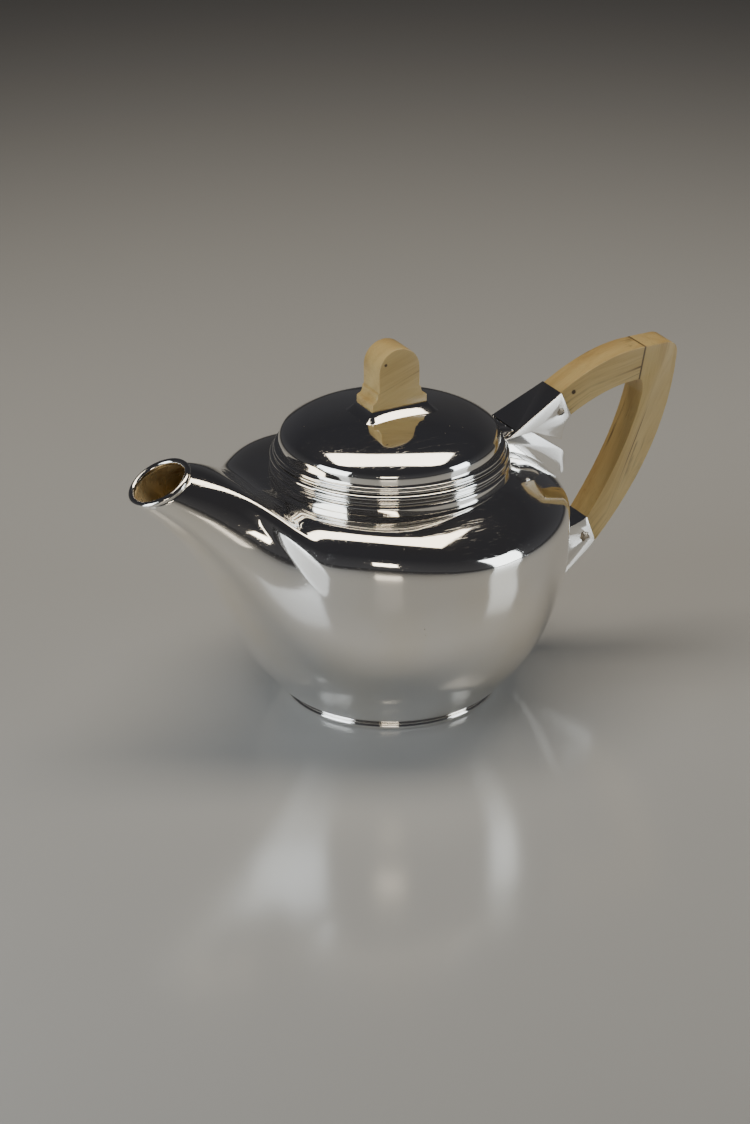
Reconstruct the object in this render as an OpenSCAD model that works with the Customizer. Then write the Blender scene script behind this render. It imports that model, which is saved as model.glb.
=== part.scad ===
// Silver teapot with a drawn-out spout, a hinged domed lid and a two-piece
// carved handle pinned into silver sockets.
// The spout points to -X, the handle stands at +X and Z is up.
// The origin is the centre of the base, on the surface that it rests on.

/* [Body] */
// Outside radius of the body at its widest level
body_r = 70.5; // [60:0.5:86]
// Height of the widest level
belly_z = 66; // [54:1:80]
// Radius of the body where it meets the base plate
base_r = 41.5; // [34:0.5:50]
// Height of the neck, where the collar stands on the shoulder
neck_z = 93.5; // [84:0.5:114]
// Outside radius of the neck
neck_r = 47.1; // [42:0.1:58]
// Fall of the shoulder at the neck, in degrees
shoulder_slope = 14; // [8:1:24]
// Radius of the shoulder's bow, as a share of the shoulder's width
shoulder_bow = 1.92; // [1.7:0.01:4]
// Radius of the turn from the shoulder into the side
shoulder_round = 11; // [6:0.5:16]
// Thickness of the silver sheet
wall = 1.1; // [0.8:0.1:2]
// Rise of the shoulder on the spout side
spout_lift = 6; // [0:0.5:9]
// Where that rise begins, along X
lift_start = 14; // [0:1:20]
// Length over which the shoulder rises
lift_run = 57; // [50:1:80]

/* [Base] */
// Thickness of the flat base plate
base_t = 2.4; // [1.6:0.1:4]
// How far the bead on the base plate stands out
base_bead = 0.7; // [0.3:0.1:1.5]

/* [Spout] */
// Distance from the neck to the plane where the spout grows out
root_gap = 2.9; // [0.5:0.1:7]
// Mouth centre beyond the body's side
mouth_reach = 27.9; // [20:0.5:40]
// Height of the mouth centre above the neck
mouth_rise = 13.7; // [6:0.5:24]
// Outside radius of the mouth
mouth_r = 12.4; // [9:0.2:16]
// Tilt of the mouth towards the cup, in degrees
mouth_tilt = 28; // [10:1:45]
// Climb of the spout at its mouth, in degrees
spout_climb = 24.5; // [15:0.5:50]
// Narrowing of the spout as it reaches the mouth
spout_taper = 0.3; // [0:0.05:0.5]
// Pull of the body's surface on the spout's lines
root_pull = 0.9; // [0.5:0.05:1.4]
// Pull of the mouth's direction on the spout's lines
mouth_pull = 1.4; // [0.6:0.05:1.8]
// Radius of the wire round the mouth
rim_wire = 1.25; // [0.8:0.05:2]
// Thickness of the strainer plate
strainer_t = 0.8; // [0.5:0.1:1.5]
// Radius of a strainer hole
strainer_hole_r = 1.2; // [0.8:0.1:1.6]
// Distance between neighbouring strainer holes
strainer_pitch = 5.2; // [4:0.1:7]
// Rings of strainer holes round the middle one
strainer_rings = 3; // [1:1:4]

/* [Collar] */
// Width of the collar, from the neck's side in to the bore for the lid's bezel
collar_w = 4.5; // [3.5:0.5:8]
// Height of the lower moulding
step_h = 3.8; // [2:0.1:6]
// Height of the upper moulding
collar_h = 4.1; // [3:0.1:7]
// Radius of the moulded beads
bead_r = 1.2; // [0.6:0.1:1.5]
// Height of the lower moulding's straight foot
step_foot_h = 1; // [0.4:0.1:2]
// Upper moulding's side, in from the neck's side
collar_inset = 0.3; // [0:0.1:2]
// Depth of the upper moulding's foot below its bead
hollow_in = 0.4; // [0:0.1:0.8]

/* [Lid] */
// Gap between the closed lid and the collar
seat_gap = 0.2; // [0.1:0.05:0.5]
// Height of the lid's moulded rim
rim_h = 2.6; // [1.8:0.1:4]
// Dome's wall, in from the neck's side
dome_inset = 3.8; // [3:0.1:9]
// How far the lid's rim stands out from the dome's wall
rim_w = 2.3; // [1.5:0.1:3]
// Step between the rim's lower and upper bead
rim_step = 0.5; // [0:0.1:1]
// Height of the dome's straight wall
dome_wall_h = 2.3; // [1:0.1:6]
// Radius of the turn from the wall into the dome's edge
dome_round = 5; // [3:0.1:7]
// Radius of the dome's edge, between that turn and the crown
dome_bow = 27; // [16:1:40]
// Fall of the dome's edge where the turn begins, in degrees
dome_fall = 36; // [28:1:46]
// Fall of the crown at the dome's edge, in degrees
crown_fall = 14; // [8:1:18]
// Height of the boss that the knob stands on
boss_h = 2.4; // [1:0.1:4]
// Spread of the boss round the knob's foot
boss_w = 4.5; // [2:0.1:7]
// Thickness of the lid's sheet
lid_wall = 1.1; // [0.8:0.1:2]
// Depth of the bezel below the rim
bezel_h = 5; // [3:0.5:8]
// Thickness of the bezel
bezel_t = 1; // [0.7:0.1:1.6]
// Gap between the bezel and its bore
bezel_gap = 0.4; // [0.3:0.05:0.8]

/* [Knob] */
// Width of the knob's arch
knob_w = 17.7; // [12:0.1:24]
// Width of the knob's spreading foot
knob_foot_w = 24; // [18:0.5:30]
// Thickness of the knob
knob_t = 13; // [9:0.5:18]
// Height of the knob above its boss
knob_h = 23.9; // [16:0.1:32]
// Height of the knob's foot before it draws in
knob_foot_h = 2.9; // [1.5:0.1:5]
// Height over which the foot draws in
knob_cove_h = 4.2; // [2:0.1:7]
// Step between the cove and the arch
knob_step = 0.7; // [0.3:0.1:1.5]
// Offset of the knob towards the handle
knob_x = 1; // [0:0.5:3]
// Radius of the bolt that holds the knob
bolt_r = 1.6; // [1.2:0.1:2.2]
// Length of the bolt inside the knob
bolt_grip = 10; // [6:0.5:14]
// Radius of the washer under the crown
washer_r = 6; // [4:0.5:9]
// Thickness of the washer at its edge
washer_t = 1.2; // [0.8:0.1:2]
// Distance across the corners of the nut
nut_d = 7.4; // [5:0.1:10]
// Thickness of the nut
nut_t = 2.6; // [1.8:0.1:4]

/* [Lid hinge] */
// Distance of the hinge's axis from the neck's side
hinge_out = 2.8; // [2.6:0.1:4]
// Drop of the hinge's axis below the collar's top
hinge_drop = 1.2; // [0.8:0.1:2]
// Radius of the hinge's barrel
barrel_r = 1.85; // [1.5:0.05:2.4]
// Radius of the hinge pin
hinge_pin_r = 0.8; // [0.6:0.05:1.1]
// Radial play of the lid's knuckle on its pin
hinge_play = 0.06; // [0.03:0.01:0.1]
// Length of the lid's knuckle
knuckle_w = 6; // [4:0.5:8]
// Overall length of the hinge
hinge_w = 16; // [12:0.5:18]
// Gap between neighbouring knuckles
knuckle_gap = 0.15; // [0.1:0.05:0.3]
// How far the lid can be seen to open, in degrees
lid_open = 0; // [0:1:100]

/* [Handle] */
// Width of the handle's wood from side to side
handle_t = 13; // [9:0.5:17]
// Upper joint beyond the body's side
upper_out = 5.3; // [3:0.1:12]
// Upper joint above the neck
upper_up = 13.95; // [10:0.1:22]
// Lean of the upper joint, in degrees
upper_lean = 25.4; // [15:0.1:40]
// Depth of the wood at the upper joint
upper_depth = 11.6; // [9:0.1:15]
// Lower joint beyond the body's side
lower_out = 18.1; // [12:0.1:26]
// Lower joint below the widest level
lower_down = 15.7; // [8:0.1:24]
// Lean of the lower joint's face, in degrees
lower_lean = 20; // [5:1:40]
// Depth of the wood at the lower joint
lower_depth = 11.7; // [9:0.1:15]
// Outer corner of the handle beyond the body's side
corner_out = 56.8; // [45:0.1:75]
// Outer corner of the handle above the neck
corner_up = 31; // [22:0.1:42]
// Depth of the wood along the grip
grip_depth = 13.4; // [9:0.1:17]
// Distance of the seam between the two arms from the outer corner
seam_back = 14.9; // [10:0.1:22]
// Slant of that seam, as a share of the grip's depth
seam_slant = 0.2; // [0:0.05:0.5]
// Length of each tenon
tenon_l = 9; // [6:0.5:14]
// Silver left round each tenon
tenon_wall = 1.4; // [1:0.1:2.5]
// Gap round each tenon
tenon_gap = 0.05; // [0.02:0.01:0.15]
// Radius of the cross pins
pin_r = 1.5; // [1:0.1:2.2]
// Radius of a pin's peened head
pin_head_r = 2.3; // [1.6:0.1:3.2]
// Height of a pin's peened head
pin_head_h = 0.6; // [0.3:0.1:1.2]
// Radius of the dowel between the arms
dowel_r = 2; // [1.5:0.1:3]
// Length of the dowel
dowel_l = 12; // [8:0.5:18]

/* [Sockets] */
// Half width of the upper socket at the collar
socket_root_w = 10.9; // [8:0.1:14]
// Height of the shelf's edge above the shoulder
shelf_gap = 3.6; // [2:0.1:6]
// How far the shelf reaches beyond the body's side
shelf_out = 4.7; // [3:0.1:8]
// Thickness of the shelf at its outer edge
shelf_t = 7; // [4:0.5:10]
// Half width of the shelf
shelf_w = 9.8; // [7:0.1:13]
// Half width of the stem under the shelf
stem_w = 7.3; // [5:0.1:9]
// Height of the lower socket's tip on the body
fin_tip_z = 9.9; // [5:0.1:20]
// Depth that a soldered piece is let into its neighbour
solder = 0.15; // [0.05:0.05:0.3]

/* [Hidden] */
$fn = 96;

silver = [0.86, 0.85, 0.82];
pale_wood = [0.84, 0.73, 0.53];
brass = [0.78, 0.64, 0.36];

// Numbers of columns round the body, lines along the spout and its rings
body_cols = 40;
spout_lines = 32;
spout_rings = 12;
foot_rows = 4;
neck_rows = 3;
arc_steps = 10;
curve_steps = 12;
hole_facets = 24;

// How far a cutter runs past the face that it cuts, and a length over every piece
past = 1;
tall = 4 * neck_z;

// Radii that follow the neck
root_x = neck_r + root_gap;
collar_bore_r = neck_r - collar_w;
dome_r = neck_r - dome_inset;

// Round under the belly: upright at the belly and through the base's edge
belly_dz = belly_z - base_t;
belly_dr = body_r - base_r;
under_r = (pow(belly_dr, 2) + pow(belly_dz, 2)) / (2 * belly_dr);

// Shoulder: a wide bow from the neck, then a tighter turn into the upright side
bow_r = shoulder_bow * (body_r - neck_r);
bow_c = [neck_r, neck_z] - bow_r * [sin(shoulder_slope), cos(shoulder_slope)];
turn_a = acos((body_r - shoulder_round - bow_c[0]) / (bow_r - shoulder_round));
turn_z = bow_c[1] + (bow_r - shoulder_round) * sin(turn_a);
turn_top = turn_z + shoulder_round * sin(turn_a);

// Opening at the neck: a lip of the sheet stands under the collar
neck_lip = 2.1 * wall;
open_r = neck_r - neck_lip;

// Mouth of the spout
mouth_c = [-body_r - mouth_reach, 0, neck_z + mouth_rise];
mouth_out = [-cos(mouth_tilt), 0, -sin(mouth_tilt)];
mouth_dir = [-cos(spout_climb), 0, sin(spout_climb)];

// Levels of the collar and the lid
step_top = neck_z + step_h;
collar_top = step_top + collar_h;
seat_z = collar_top + seat_gap;
dome_z = seat_z + rim_h;
round_z = dome_z + dome_wall_h;
bead_out = neck_r - collar_inset;
rim_out = dome_r + rim_w;
bezel_r = collar_bore_r - bezel_gap;

// Dome of the lid: the wall's turn, the edge and the crown, each tangent to the next
round_c = [dome_r - dome_round, round_z];
bow_dir = [sin(dome_fall), cos(dome_fall)];
edge_c = round_c - (dome_bow - dome_round) * bow_dir;
crown_dir = [sin(crown_fall), cos(crown_fall)];
crown_r = dome_bow + edge_c[0] / crown_dir[0];
crown_c = edge_c[1] - (crown_r - dome_bow) * crown_dir[1];
crown_z = crown_c + crown_r;
boss_z = crown_z + boss_h;

// How far the upper socket and its foot run into the collar
hold = 2;

// Hinge
hinge_x = neck_r + hinge_out;
hinge_z = collar_top - hinge_drop;

// Joints of the handle, each at the middle of its face
upper_joint = [body_r + upper_out, neck_z + upper_up];
lower_joint = [body_r + lower_out, belly_z - lower_down];
corner = [body_r + corner_out, neck_z + corner_up];
upper_face = [sin(upper_lean), -cos(upper_lean)];
lower_face = [sin(lower_lean), -cos(lower_lean)];
upper_top = upper_joint - upper_face * upper_depth / 2;
upper_low = upper_joint + upper_face * upper_depth / 2;
taper_end = upper_low[0] + hold;
lower_in = lower_joint - lower_face * lower_depth / 2;
lower_end = lower_joint + lower_face * lower_depth / 2;
seam_top = corner - [seam_back, 0];
seam_low = seam_top - [seam_slant, 1] * grip_depth;
grip_turn = [1.2, 1.5];
grip_in = corner - grip_turn * grip_depth;

// Upper socket's chin, and the seam between the socket and its foot
chin = [4.6, 9.4];
seam_share = 0.43;
seam_drop_in = 2.2;
seam_drop_out = 1.6;
seam_x = neck_r + seam_share * (upper_low[0] - chin[0] - neck_r);
seam_in = [neck_r - hold, collar_top - seam_drop_in];
seam_out = [seam_x, collar_top - seam_drop_out];

// Lower socket: from the lower joint straight down to its tip on the body
fin_let_in = [2, 1.5];
fin_tip = [wall_r(fin_tip_z), fin_tip_z] - fin_let_in;
fin_dir = (fin_tip - lower_end) / norm(fin_tip - lower_end);
fin_angle = atan2(-fin_dir[1], -fin_dir[0]);
lower_pin_share = 0.45;
upper_pin_share = 0.42;
upper_pin_low = 1.2;
lower_pin_at = lower_joint + fin_dir * tenon_l * lower_pin_share;
upper_pin_at = [-tenon_l * upper_pin_share, -upper_pin_low];

// Dowel between the arms, its middle just inside the seam
dowel_back = 1.5;
dowel_at = [seam_top[0] - dowel_back - dowel_l / 2, 0, corner[1] - grip_depth / 2];

// Outside radius of the body at a height, away from the spout
function wall_r(z) =
    z <= belly_z ? body_r - under_r + sqrt(pow(under_r, 2) - pow(belly_z - z, 2))
    : z <= turn_z ? body_r
    : z <= turn_top
        ? body_r - shoulder_round + sqrt(pow(shoulder_round, 2) - pow(z - turn_z, 2))
    : bow_c[0] + sqrt(pow(bow_r, 2) - pow(z - bow_c[1], 2));

// Smooth step from 0 to 1
function ease(u) = let (c = max(0, min(1, u))) c * c * (3 - 2 * c);

// Rise of the shoulder towards the spout
function lift(x, z) =
    let (u = max(0, min(1, (z - belly_z) / (neck_z - belly_z))))
    spout_lift * ease((lift_start - x) / lift_run) * sin(180 * pow(u, 1.5));

// Point of the body's outside at an angle and a height
function skin(a, z) =
    let (r = wall_r(z), x = r * cos(a)) [x, r * sin(a), z + lift(x, z)];

// Direction square to the body's outside
function skin_normal(a, z) =
    let (e = 0.02,
        n = cross(skin(a + e, z) - skin(a - e, z), skin(a, z + e) - skin(a, z - e)))
    n / norm(n);

// Same point on the outside (t = 0) or t deep in the sheet
function sheet(a, z, t) = skin(a, z) - t * skin_normal(a, z);

// Lowest and highest level that the spout's root plane cuts
root_low = belly_z - sqrt(pow(under_r, 2) - pow(root_x - body_r + under_r, 2));
root_high = bow_c[1] + sqrt(pow(bow_r, 2) - pow(root_x - bow_c[0], 2));

// Level of the spout's line k, counted from the lowest
function root_level(k) =
    (root_low + root_high) / 2 - (root_high - root_low) / 2 * cos(360 * k / spout_lines);

// Half the angle of the body that remains at a level
function keep_angle(z) =
    wall_r(z) <= root_x ? 180 : acos(max(-1, -root_x / wall_r(z)));

// Start of the spout's line k on the body
function root_angle(k) =
    (k <= spout_lines / 2 ? -1 : 1) * keep_angle(root_level(k));

// Direction from the middle of the mouth to the end of the spout's line k
function mouth_radial(k) =
    let (f = 360 * k / spout_lines) cos(f) * mouth_out + sin(f) * [0, -1, 0];

// Point at share s of the spout's line k, leaving the body along its surface
function spout_line(k, s) =
    let (p = skin(root_angle(k), root_level(k)),
        n = skin_normal(root_angle(k), root_level(k)),
        b = mouth_c + mouth_r * mouth_radial(k),
        d = b - p,
        len = norm(d),
        flat = d - (d * n) * n,
        t0 = flat / norm(flat) * len * root_pull,
        aim = mouth_dir - spout_taper * mouth_radial(k),
        t1 = aim / norm(aim) * len * mouth_pull)
    (2 * pow(s, 3) - 3 * s * s + 1) * p + (pow(s, 3) - 2 * s * s + s) * t0
        + (3 * s * s - 2 * pow(s, 3)) * b + (pow(s, 3) - s * s) * t1;

// Same point on the outside (t = 0) or t deep in the sheet
function spout_point(k, s, t) =
    let (e = 0.01,
        before = (k - e + spout_lines) % spout_lines,
        across = spout_line(k + e, s) - spout_line(before, s),
        along = spout_line(k, s + e) - spout_line(k, s - e),
        n = cross(across, along))
    s == 1 ? mouth_c + (mouth_r - t) * mouth_radial(k)
    : spout_line(k, s) - t * n / norm(n);

// Curves in a plane: a circle's arc and a quadratic curve
function arc(c, r, from, to, n = arc_steps) =
    [for (i = [0:n]) let (a = from + (to - from) * i / n) c + r * [cos(a), sin(a)]];
function curve(p, q, r, n = curve_steps) =
    [for (i = [0:n]) let (s = i / n)
        pow(1 - s, 2) * p + 2 * s * (1 - s) * q + s * s * r];

// Levels of the body's rows, from the base to the neck
row_root = foot_rows;
row_neck = foot_rows + spout_lines / 2 + neck_rows;
function row_level(j) =
    j < row_root ? base_t + (root_low - base_t) * j / foot_rows
    : j <= row_root + spout_lines / 2 ? root_level(j - row_root)
    : root_high + (neck_z - root_high) * (j - row_root - spout_lines / 2) / neck_rows;

// Prism of an outline in the XZ plane, centred on the plane of symmetry
module slab(outline, width) {
    translate([0, width / 2, 0]) rotate([90, 0, 0])
        linear_extrude(width) polygon(outline);
}

// Turned piece about the pot's axis
module turned(outline) {
    rotate_extrude() polygon(outline);
}

// Outer form of the body away from the spout, grown by g, as a cutter
module body_form(g) {
    top = bow_c + (bow_r + g) * [sin(shoulder_slope), cos(shoulder_slope)];
    turned(concat(
        [[0, base_t - g]],
        [for (i = [0:2 * arc_steps])
            let (z = base_t + belly_dz * i / (2 * arc_steps))
            [body_r - under_r + sqrt(pow(under_r + g, 2) - pow(belly_z - z, 2)), z]],
        arc([body_r - shoulder_round, turn_z], shoulder_round + g, 0, turn_a),
        arc(bow_c, bow_r + g, turn_a, 90 - shoulder_slope),
        [[0, top[1]]]));
}

// Body and spout: one raised sheet, open at the neck and at the mouth
module body_shell() {
    cols = body_cols;
    lines = spout_lines;
    rows = row_neck + 1;
    half = rows * (cols + 1);
    lip = 2 * half;
    tube = lip + cols;
    tube_half = spout_rings * lines;
    grid = [for (t = [0, wall]) for (j = [0:row_neck])
        let (z = row_level(j), keep = keep_angle(z))
        for (i = [0:cols]) sheet(keep * (2 * i / cols - 1), z, t)];
    lip_ring = [for (i = [0:cols - 1])
        let (a = 360 * i / cols - 180) [open_r * cos(a), open_r * sin(a), neck_z]];
    tube_points = [for (t = [0, wall]) for (s = [1:spout_rings])
        for (k = [0:lines - 1]) spout_point(k, s / spout_rings, t)];
    function whole(j) = j <= row_root || j >= row_root + lines / 2;
    function at(side, j, i) =
        side * half + j * (cols + 1) + (whole(j) && i == cols ? 0 : i);
    function ring(side, s, k) =
        let (q = k % lines)
        s > 0 ? tube + side * tube_half + (s - 1) * lines + q
        : q <= lines / 2 ? at(side, row_root + q, 0)
        : at(side, row_root + lines - q, cols);
    function quad(a, b, c, d, flip) =
        flip ? [[a, b, c], [a, c, d]] : [[c, b, a], [d, c, a]];
    skin_faces = [for (side = [0, 1]) for (j = [0:row_neck - 1]) for (i = [0:cols - 1])
        each quad(at(side, j, i), at(side, j, i + 1), at(side, j + 1, i + 1),
            at(side, j + 1, i), side == 1)];
    tube_faces = [for (side = [0, 1]) for (s = [0:spout_rings - 1])
        for (k = [0:lines - 1])
        each quad(ring(side, s, k), ring(side, s, k + 1), ring(side, s + 1, k + 1),
            ring(side, s + 1, k), side == 1)];
    mouth_faces = [for (k = [0:lines - 1])
        each quad(ring(0, spout_rings, k), ring(0, spout_rings, k + 1),
            ring(1, spout_rings, k + 1), ring(1, spout_rings, k), false)];
    lip_faces = [for (i = [0:cols - 1])
        let (a = lip + i, b = lip + (i + 1) % cols)
        each concat(
            quad(at(0, row_neck, i), at(0, row_neck, i + 1), b, a, false),
            quad(a, b, at(1, row_neck, i + 1), at(1, row_neck, i), false))];
    floor_out = [for (i = [0:cols - 1]) at(0, 0, i)];
    floor_in = [for (i = [cols - 1:-1:0]) at(1, 0, i)];
    color(silver)
        polyhedron(concat(grid, lip_ring, tube_points),
            concat(skin_faces, tube_faces, mouth_faces, lip_faces,
                [floor_out, floor_in]), convexity = 8);
}

// Flat plate under the body, with a bead round its edge
module base_plate() {
    bead = base_t / 2;
    color(silver) turned(concat(
        [[0, 0]],
        arc([base_r + base_bead - bead, bead], bead, -90, 90),
        [[0, base_t]]));
}

// Wire round the mouth of the spout, flat where it is soldered down
module spout_rim() {
    rise = 0.5;
    dip = asin(rise);
    color(silver) translate(mouth_c) rotate([0, -mouth_tilt, 0])
        turned(arc([mouth_r - wall / 2, rim_wire * rise], rim_wire,
            -dip, 180 + dip, 2 * arc_steps));
}

// Pierced plate across the root of the spout
module strainer() {
    outline = [for (k = [0:spout_lines - 1])
        let (p = skin(root_angle(k), root_level(k)),
            n = skin_normal(root_angle(k), root_level(k)),
            in = wall / (pow(n[1], 2) + pow(n[2], 2)))
        [p[2] - in * n[2], p[1] - in * n[1]]];
    middle = (root_low + root_high) / 2;
    color(silver) difference() {
        translate([-root_x, 0, 0]) rotate([0, -90, 0]) mirror([0, 0, 1])
            linear_extrude(strainer_t) polygon(outline);
        for (ring = [0:strainer_rings])
            for (i = [0:max(0, 6 * ring - 1)])
                rotate_about([-root_x, 0, middle], ring == 0 ? 0 : 60 * i / ring)
                    translate([-root_x - past, 0, middle + ring * strainer_pitch])
                        rotate([0, 90, 0])
                            cylinder(h = strainer_t + 2 * past, r = strainer_hole_r,
                                $fn = hole_facets);
    }
}

// Turn of a child about a line along X through a point
module rotate_about(p, a) {
    translate(p) rotate([a, 0, 0]) translate(-p) children();
}

// Lower moulding of the collar, on the neck
module shoulder_step() {
    color(silver) turned(concat(
        [[collar_bore_r, neck_z], [neck_r, neck_z],
            [neck_r, neck_z + step_foot_h]],
        arc([neck_r - bead_r, step_top - bead_r], bead_r, 0, 90),
        [[collar_bore_r, step_top]]));
}

// Upper moulding of the collar: a hollow and a bead
module collar_ring() {
    hollow = (collar_h - 2 * bead_r) / 2;
    color(silver) turned(concat(
        [[collar_bore_r, step_top], [bead_out - hollow_in, step_top]],
        arc([bead_out - hollow_in, step_top + hollow], hollow, 270, 90),
        arc([bead_out - bead_r, collar_top - bead_r], bead_r, -60, 90),
        [[collar_bore_r, collar_top]]));
}

// Shelf of the upper socket: its level above the shoulder's turn, its brow over its
// edge and clear of the socket's chin, its cut corners, where it starts on the body
// and its narrowing in plan
shelf_up = 5;
brow_up = 2.5;
brow_gap = 1;
edge_cut = 2.2;
shelf_chamfer = [2, 1.5];
shelf_in = 6;
shelf_taper = 0.08;

// Stem under the shelf: its outer edge from the body's side, and that edge's top
stem_in = 3.5;
stem_up = 14;
stem_foot_in = 1.5;

// Shelf and stem that carry the upper socket on the shoulder
module socket_foot() {
    shelf_end = body_r + shelf_out;
    shelf_low = turn_z + shelf_up;
    start = seam_in[0];
    brow = min(shelf_low + shelf_t + brow_up, upper_low[1] - chin[1] - brow_gap);
    lap = 4;
    stem_out = [body_r - stem_in, turn_z + stem_up];
    color(silver) difference() {
        union() {
            intersection() {
                slab([[start, neck_z], seam_in, seam_out,
                    [shelf_end - edge_cut, brow], [shelf_end, brow - edge_cut],
                    [shelf_end, shelf_low], [shelf_end, shelf_low] - shelf_chamfer,
                    [body_r - shelf_in, shelf_low]], 2 * shelf_w);
                plan_taper(shelf_w, shelf_taper);
            }
            slab([[start, neck_z - lap], [start, neck_z + lap], [seam_x, neck_z + lap / 2],
                stem_out, [body_r - stem_foot_in, turn_z], [start, turn_z]], 2 * stem_w);
        }
        cove();
        body_form(-solder);
        collar_form();
        hinge_room();
    }
}

// Collar's outside, let in by the solder's depth, as a cutter
module collar_form() {
    cylinder(h = step_top, r = neck_r - solder);
    cylinder(h = tall, r = bead_out - solder);
}

// Hollow between the shelf and the shoulder, on both sides of the stem
module cove() {
    for (side = [-1, 1])
        intersection() {
            body_form(shelf_gap);
            translate([0, side * (stem_w + tall / 2), 0]) cube(tall, center = true);
        }
}

// Plan of a piece that is narrower towards the handle
module plan_taper(root_w, rate) {
    near = neck_r - hold;
    end_w = root_w - rate * (taper_end - near);
    linear_extrude(tall)
        polygon([[near, -root_w], [taper_end, -end_w], [taper_end, end_w],
            [near, root_w]]);
}

// Room for the lid's hinge in the end of the upper socket
module hinge_room() {
    play = 0.35;
    translate([0, -hinge_w / 2 - play, hinge_z - barrel_r - play])
        cube([hinge_x, hinge_w + 2 * play, tall]);
    translate([hinge_x, 0, hinge_z]) rotate([90, 0, 0])
        cylinder(h = hinge_w + 2 * play, r = barrel_r + play, center = true);
}

// Handle's local frame at the upper joint, X along the wood and outwards
module at_upper_joint() {
    translate([upper_joint[0], 0, upper_joint[1]]) rotate([0, -upper_lean, 0]) children();
}

// Local frame at the lower joint, X along the wood and outwards
module at_lower_joint() {
    translate([lower_joint[0], 0, lower_joint[1]]) rotate([0, -fin_angle, 0]) children();
}

// Block that fills a socket's mortise, grown by g
module tenon(g) {
    side = handle_t / 2 - tenon_wall + g;
    high = min(upper_depth, lower_depth) / 2 - tenon_wall + g;
    root = 3;
    translate([-tenon_l - g, -side, -high])
        cube([tenon_l + root + g, 2 * side, 2 * high]);
}

// Cross hole for a pin through a socket and its tenon
module pin_hole(x, z) {
    translate([x, 0, z]) rotate([90, 0, 0])
        cylinder(h = 2 * handle_t, r = pin_r, center = true);
}

// Pin with a peened head at each end
module cross_pin() {
    shank = handle_t / 2;
    head = (pow(pin_head_r, 2) + pow(pin_head_h, 2)) / (2 * pin_head_h);
    spread = asin(pin_head_r / head);
    profile = concat(
        [for (i = [0:arc_steps]) let (a = spread * i / arc_steps)
            [head * sin(a), shank + pin_head_h - head + head * cos(a)]],
        [[pin_r, shank], [pin_r, -shank]],
        [for (i = [arc_steps:-1:0]) let (a = spread * i / arc_steps)
            [head * sin(a), -(shank + pin_head_h - head + head * cos(a))]]);
    color(silver) rotate([90, 0, 0]) rotate_extrude() polygon(profile);
}

// Sleeve that holds the upper end of the handle
module upper_socket() {
    rise = 0.4;
    throat = 5.4;
    out = 1.2;
    drop = 1.5;
    outline = concat(
        [seam_in + [0, rise], [neck_r + out, collar_top - drop], upper_top],
        curve(upper_low, upper_low - chin + [0, throat], upper_low - chin),
        [seam_out, seam_in]);
    color(silver) difference() {
        intersection() {
            slab(outline, 2 * socket_root_w);
            plan_taper(socket_root_w, (socket_root_w - handle_t / 2)
                / (taper_end - neck_r + hold));
        }
        collar_form();
        hinge_room();
        at_upper_joint() tenon(tenon_gap);
        at_upper_joint() pin_hole(upper_pin_at[0], upper_pin_at[1]);
    }
}

// Long tapering socket that holds the lower end of the handle
module lower_socket() {
    let_in = 3;
    crotch = [6, -4.5];
    inside = body_r - under_r / 2;
    root = [body_r - let_in, lower_in[1] - let_in];
    color(silver) difference() {
        slab(concat(
            [lower_end, fin_tip, [inside, fin_tip[1]], [inside, root[1]]],
            curve(root, [body_r, lower_in[1]] + crotch, lower_in)), handle_t);
        body_form(-solder);
        at_lower_joint() tenon(tenon_gap);
        pin_hole(lower_pin_at[0], lower_pin_at[1]);
    }
}

// Bows of the arms' edges, each from a point between its ends
upper_bow = [1.4, 0.6];
upper_belly = [1.6, 0.2];
grip_bow = [-4.4, -5.7];
grip_belly = [-22.3, 1];
corner_cut = 5;
grip_cut = [0.7, 0.5];
nick = 0.1;

// Upper arm of the handle, tenoned into the upper socket
module upper_arm() {
    bow = [(upper_top[0] + seam_top[0]) / 2, seam_top[1]] + upper_bow;
    belly = [(upper_low[0] + seam_low[0]) / 2, seam_low[1]] + upper_belly;
    color(pale_wood) difference() {
        union() {
            slab(concat(curve(upper_top, bow, seam_top),
                curve(seam_low, belly, upper_low)), handle_t);
            at_upper_joint() tenon(0);
        }
        at_upper_joint() pin_hole(upper_pin_at[0], upper_pin_at[1]);
        dowel_hole();
    }
}

// Outer arm of the handle: the grip, down to the lower socket
module outer_arm() {
    outer_bow = [corner[0], (corner[1] + lower_end[1]) / 2] + grip_bow;
    inner_bow = [corner[0], (grip_in[1] + lower_in[1]) / 2] + grip_belly;
    inner_turn = grip_in + [nick, grip_cut[1]];
    color(pale_wood) difference() {
        union() {
            slab(concat(
                [seam_top],
                curve(corner - [corner_cut, 0], corner, corner - [0, corner_cut]),
                curve(corner - [nick, corner_cut + 1], outer_bow, lower_end),
                curve(lower_in, inner_bow, grip_in),
                curve(inner_turn, [grip_in[0] + grip_cut[0], seam_low[1]], seam_low)),
                handle_t);
            at_lower_joint() tenon(0);
        }
        pin_hole(lower_pin_at[0], lower_pin_at[1]);
        dowel_hole();
    }
}

// Blind hole for the dowel, in both arms
module dowel_hole() {
    translate(dowel_at) rotate([0, 90, 0]) cylinder(h = dowel_l, r = dowel_r);
}

module arm_dowel() {
    color(brass) dowel_hole();
}

module upper_pin() {
    at_upper_joint() translate([upper_pin_at[0], 0, upper_pin_at[1]]) cross_pin();
}

module lower_pin() {
    translate([lower_pin_at[0], 0, lower_pin_at[1]]) cross_pin();
}

// Piece of the hinge's barrel between two places along the pin
module barrel(from, to, bore) {
    translate([hinge_x, 0, hinge_z]) rotate([-90, 0, 0]) translate([0, 0, from])
        difference() {
            cylinder(h = to - from, r = barrel_r);
            translate([0, 0, -past]) cylinder(h = to - from + 2 * past, r = bore);
        }
}

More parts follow.
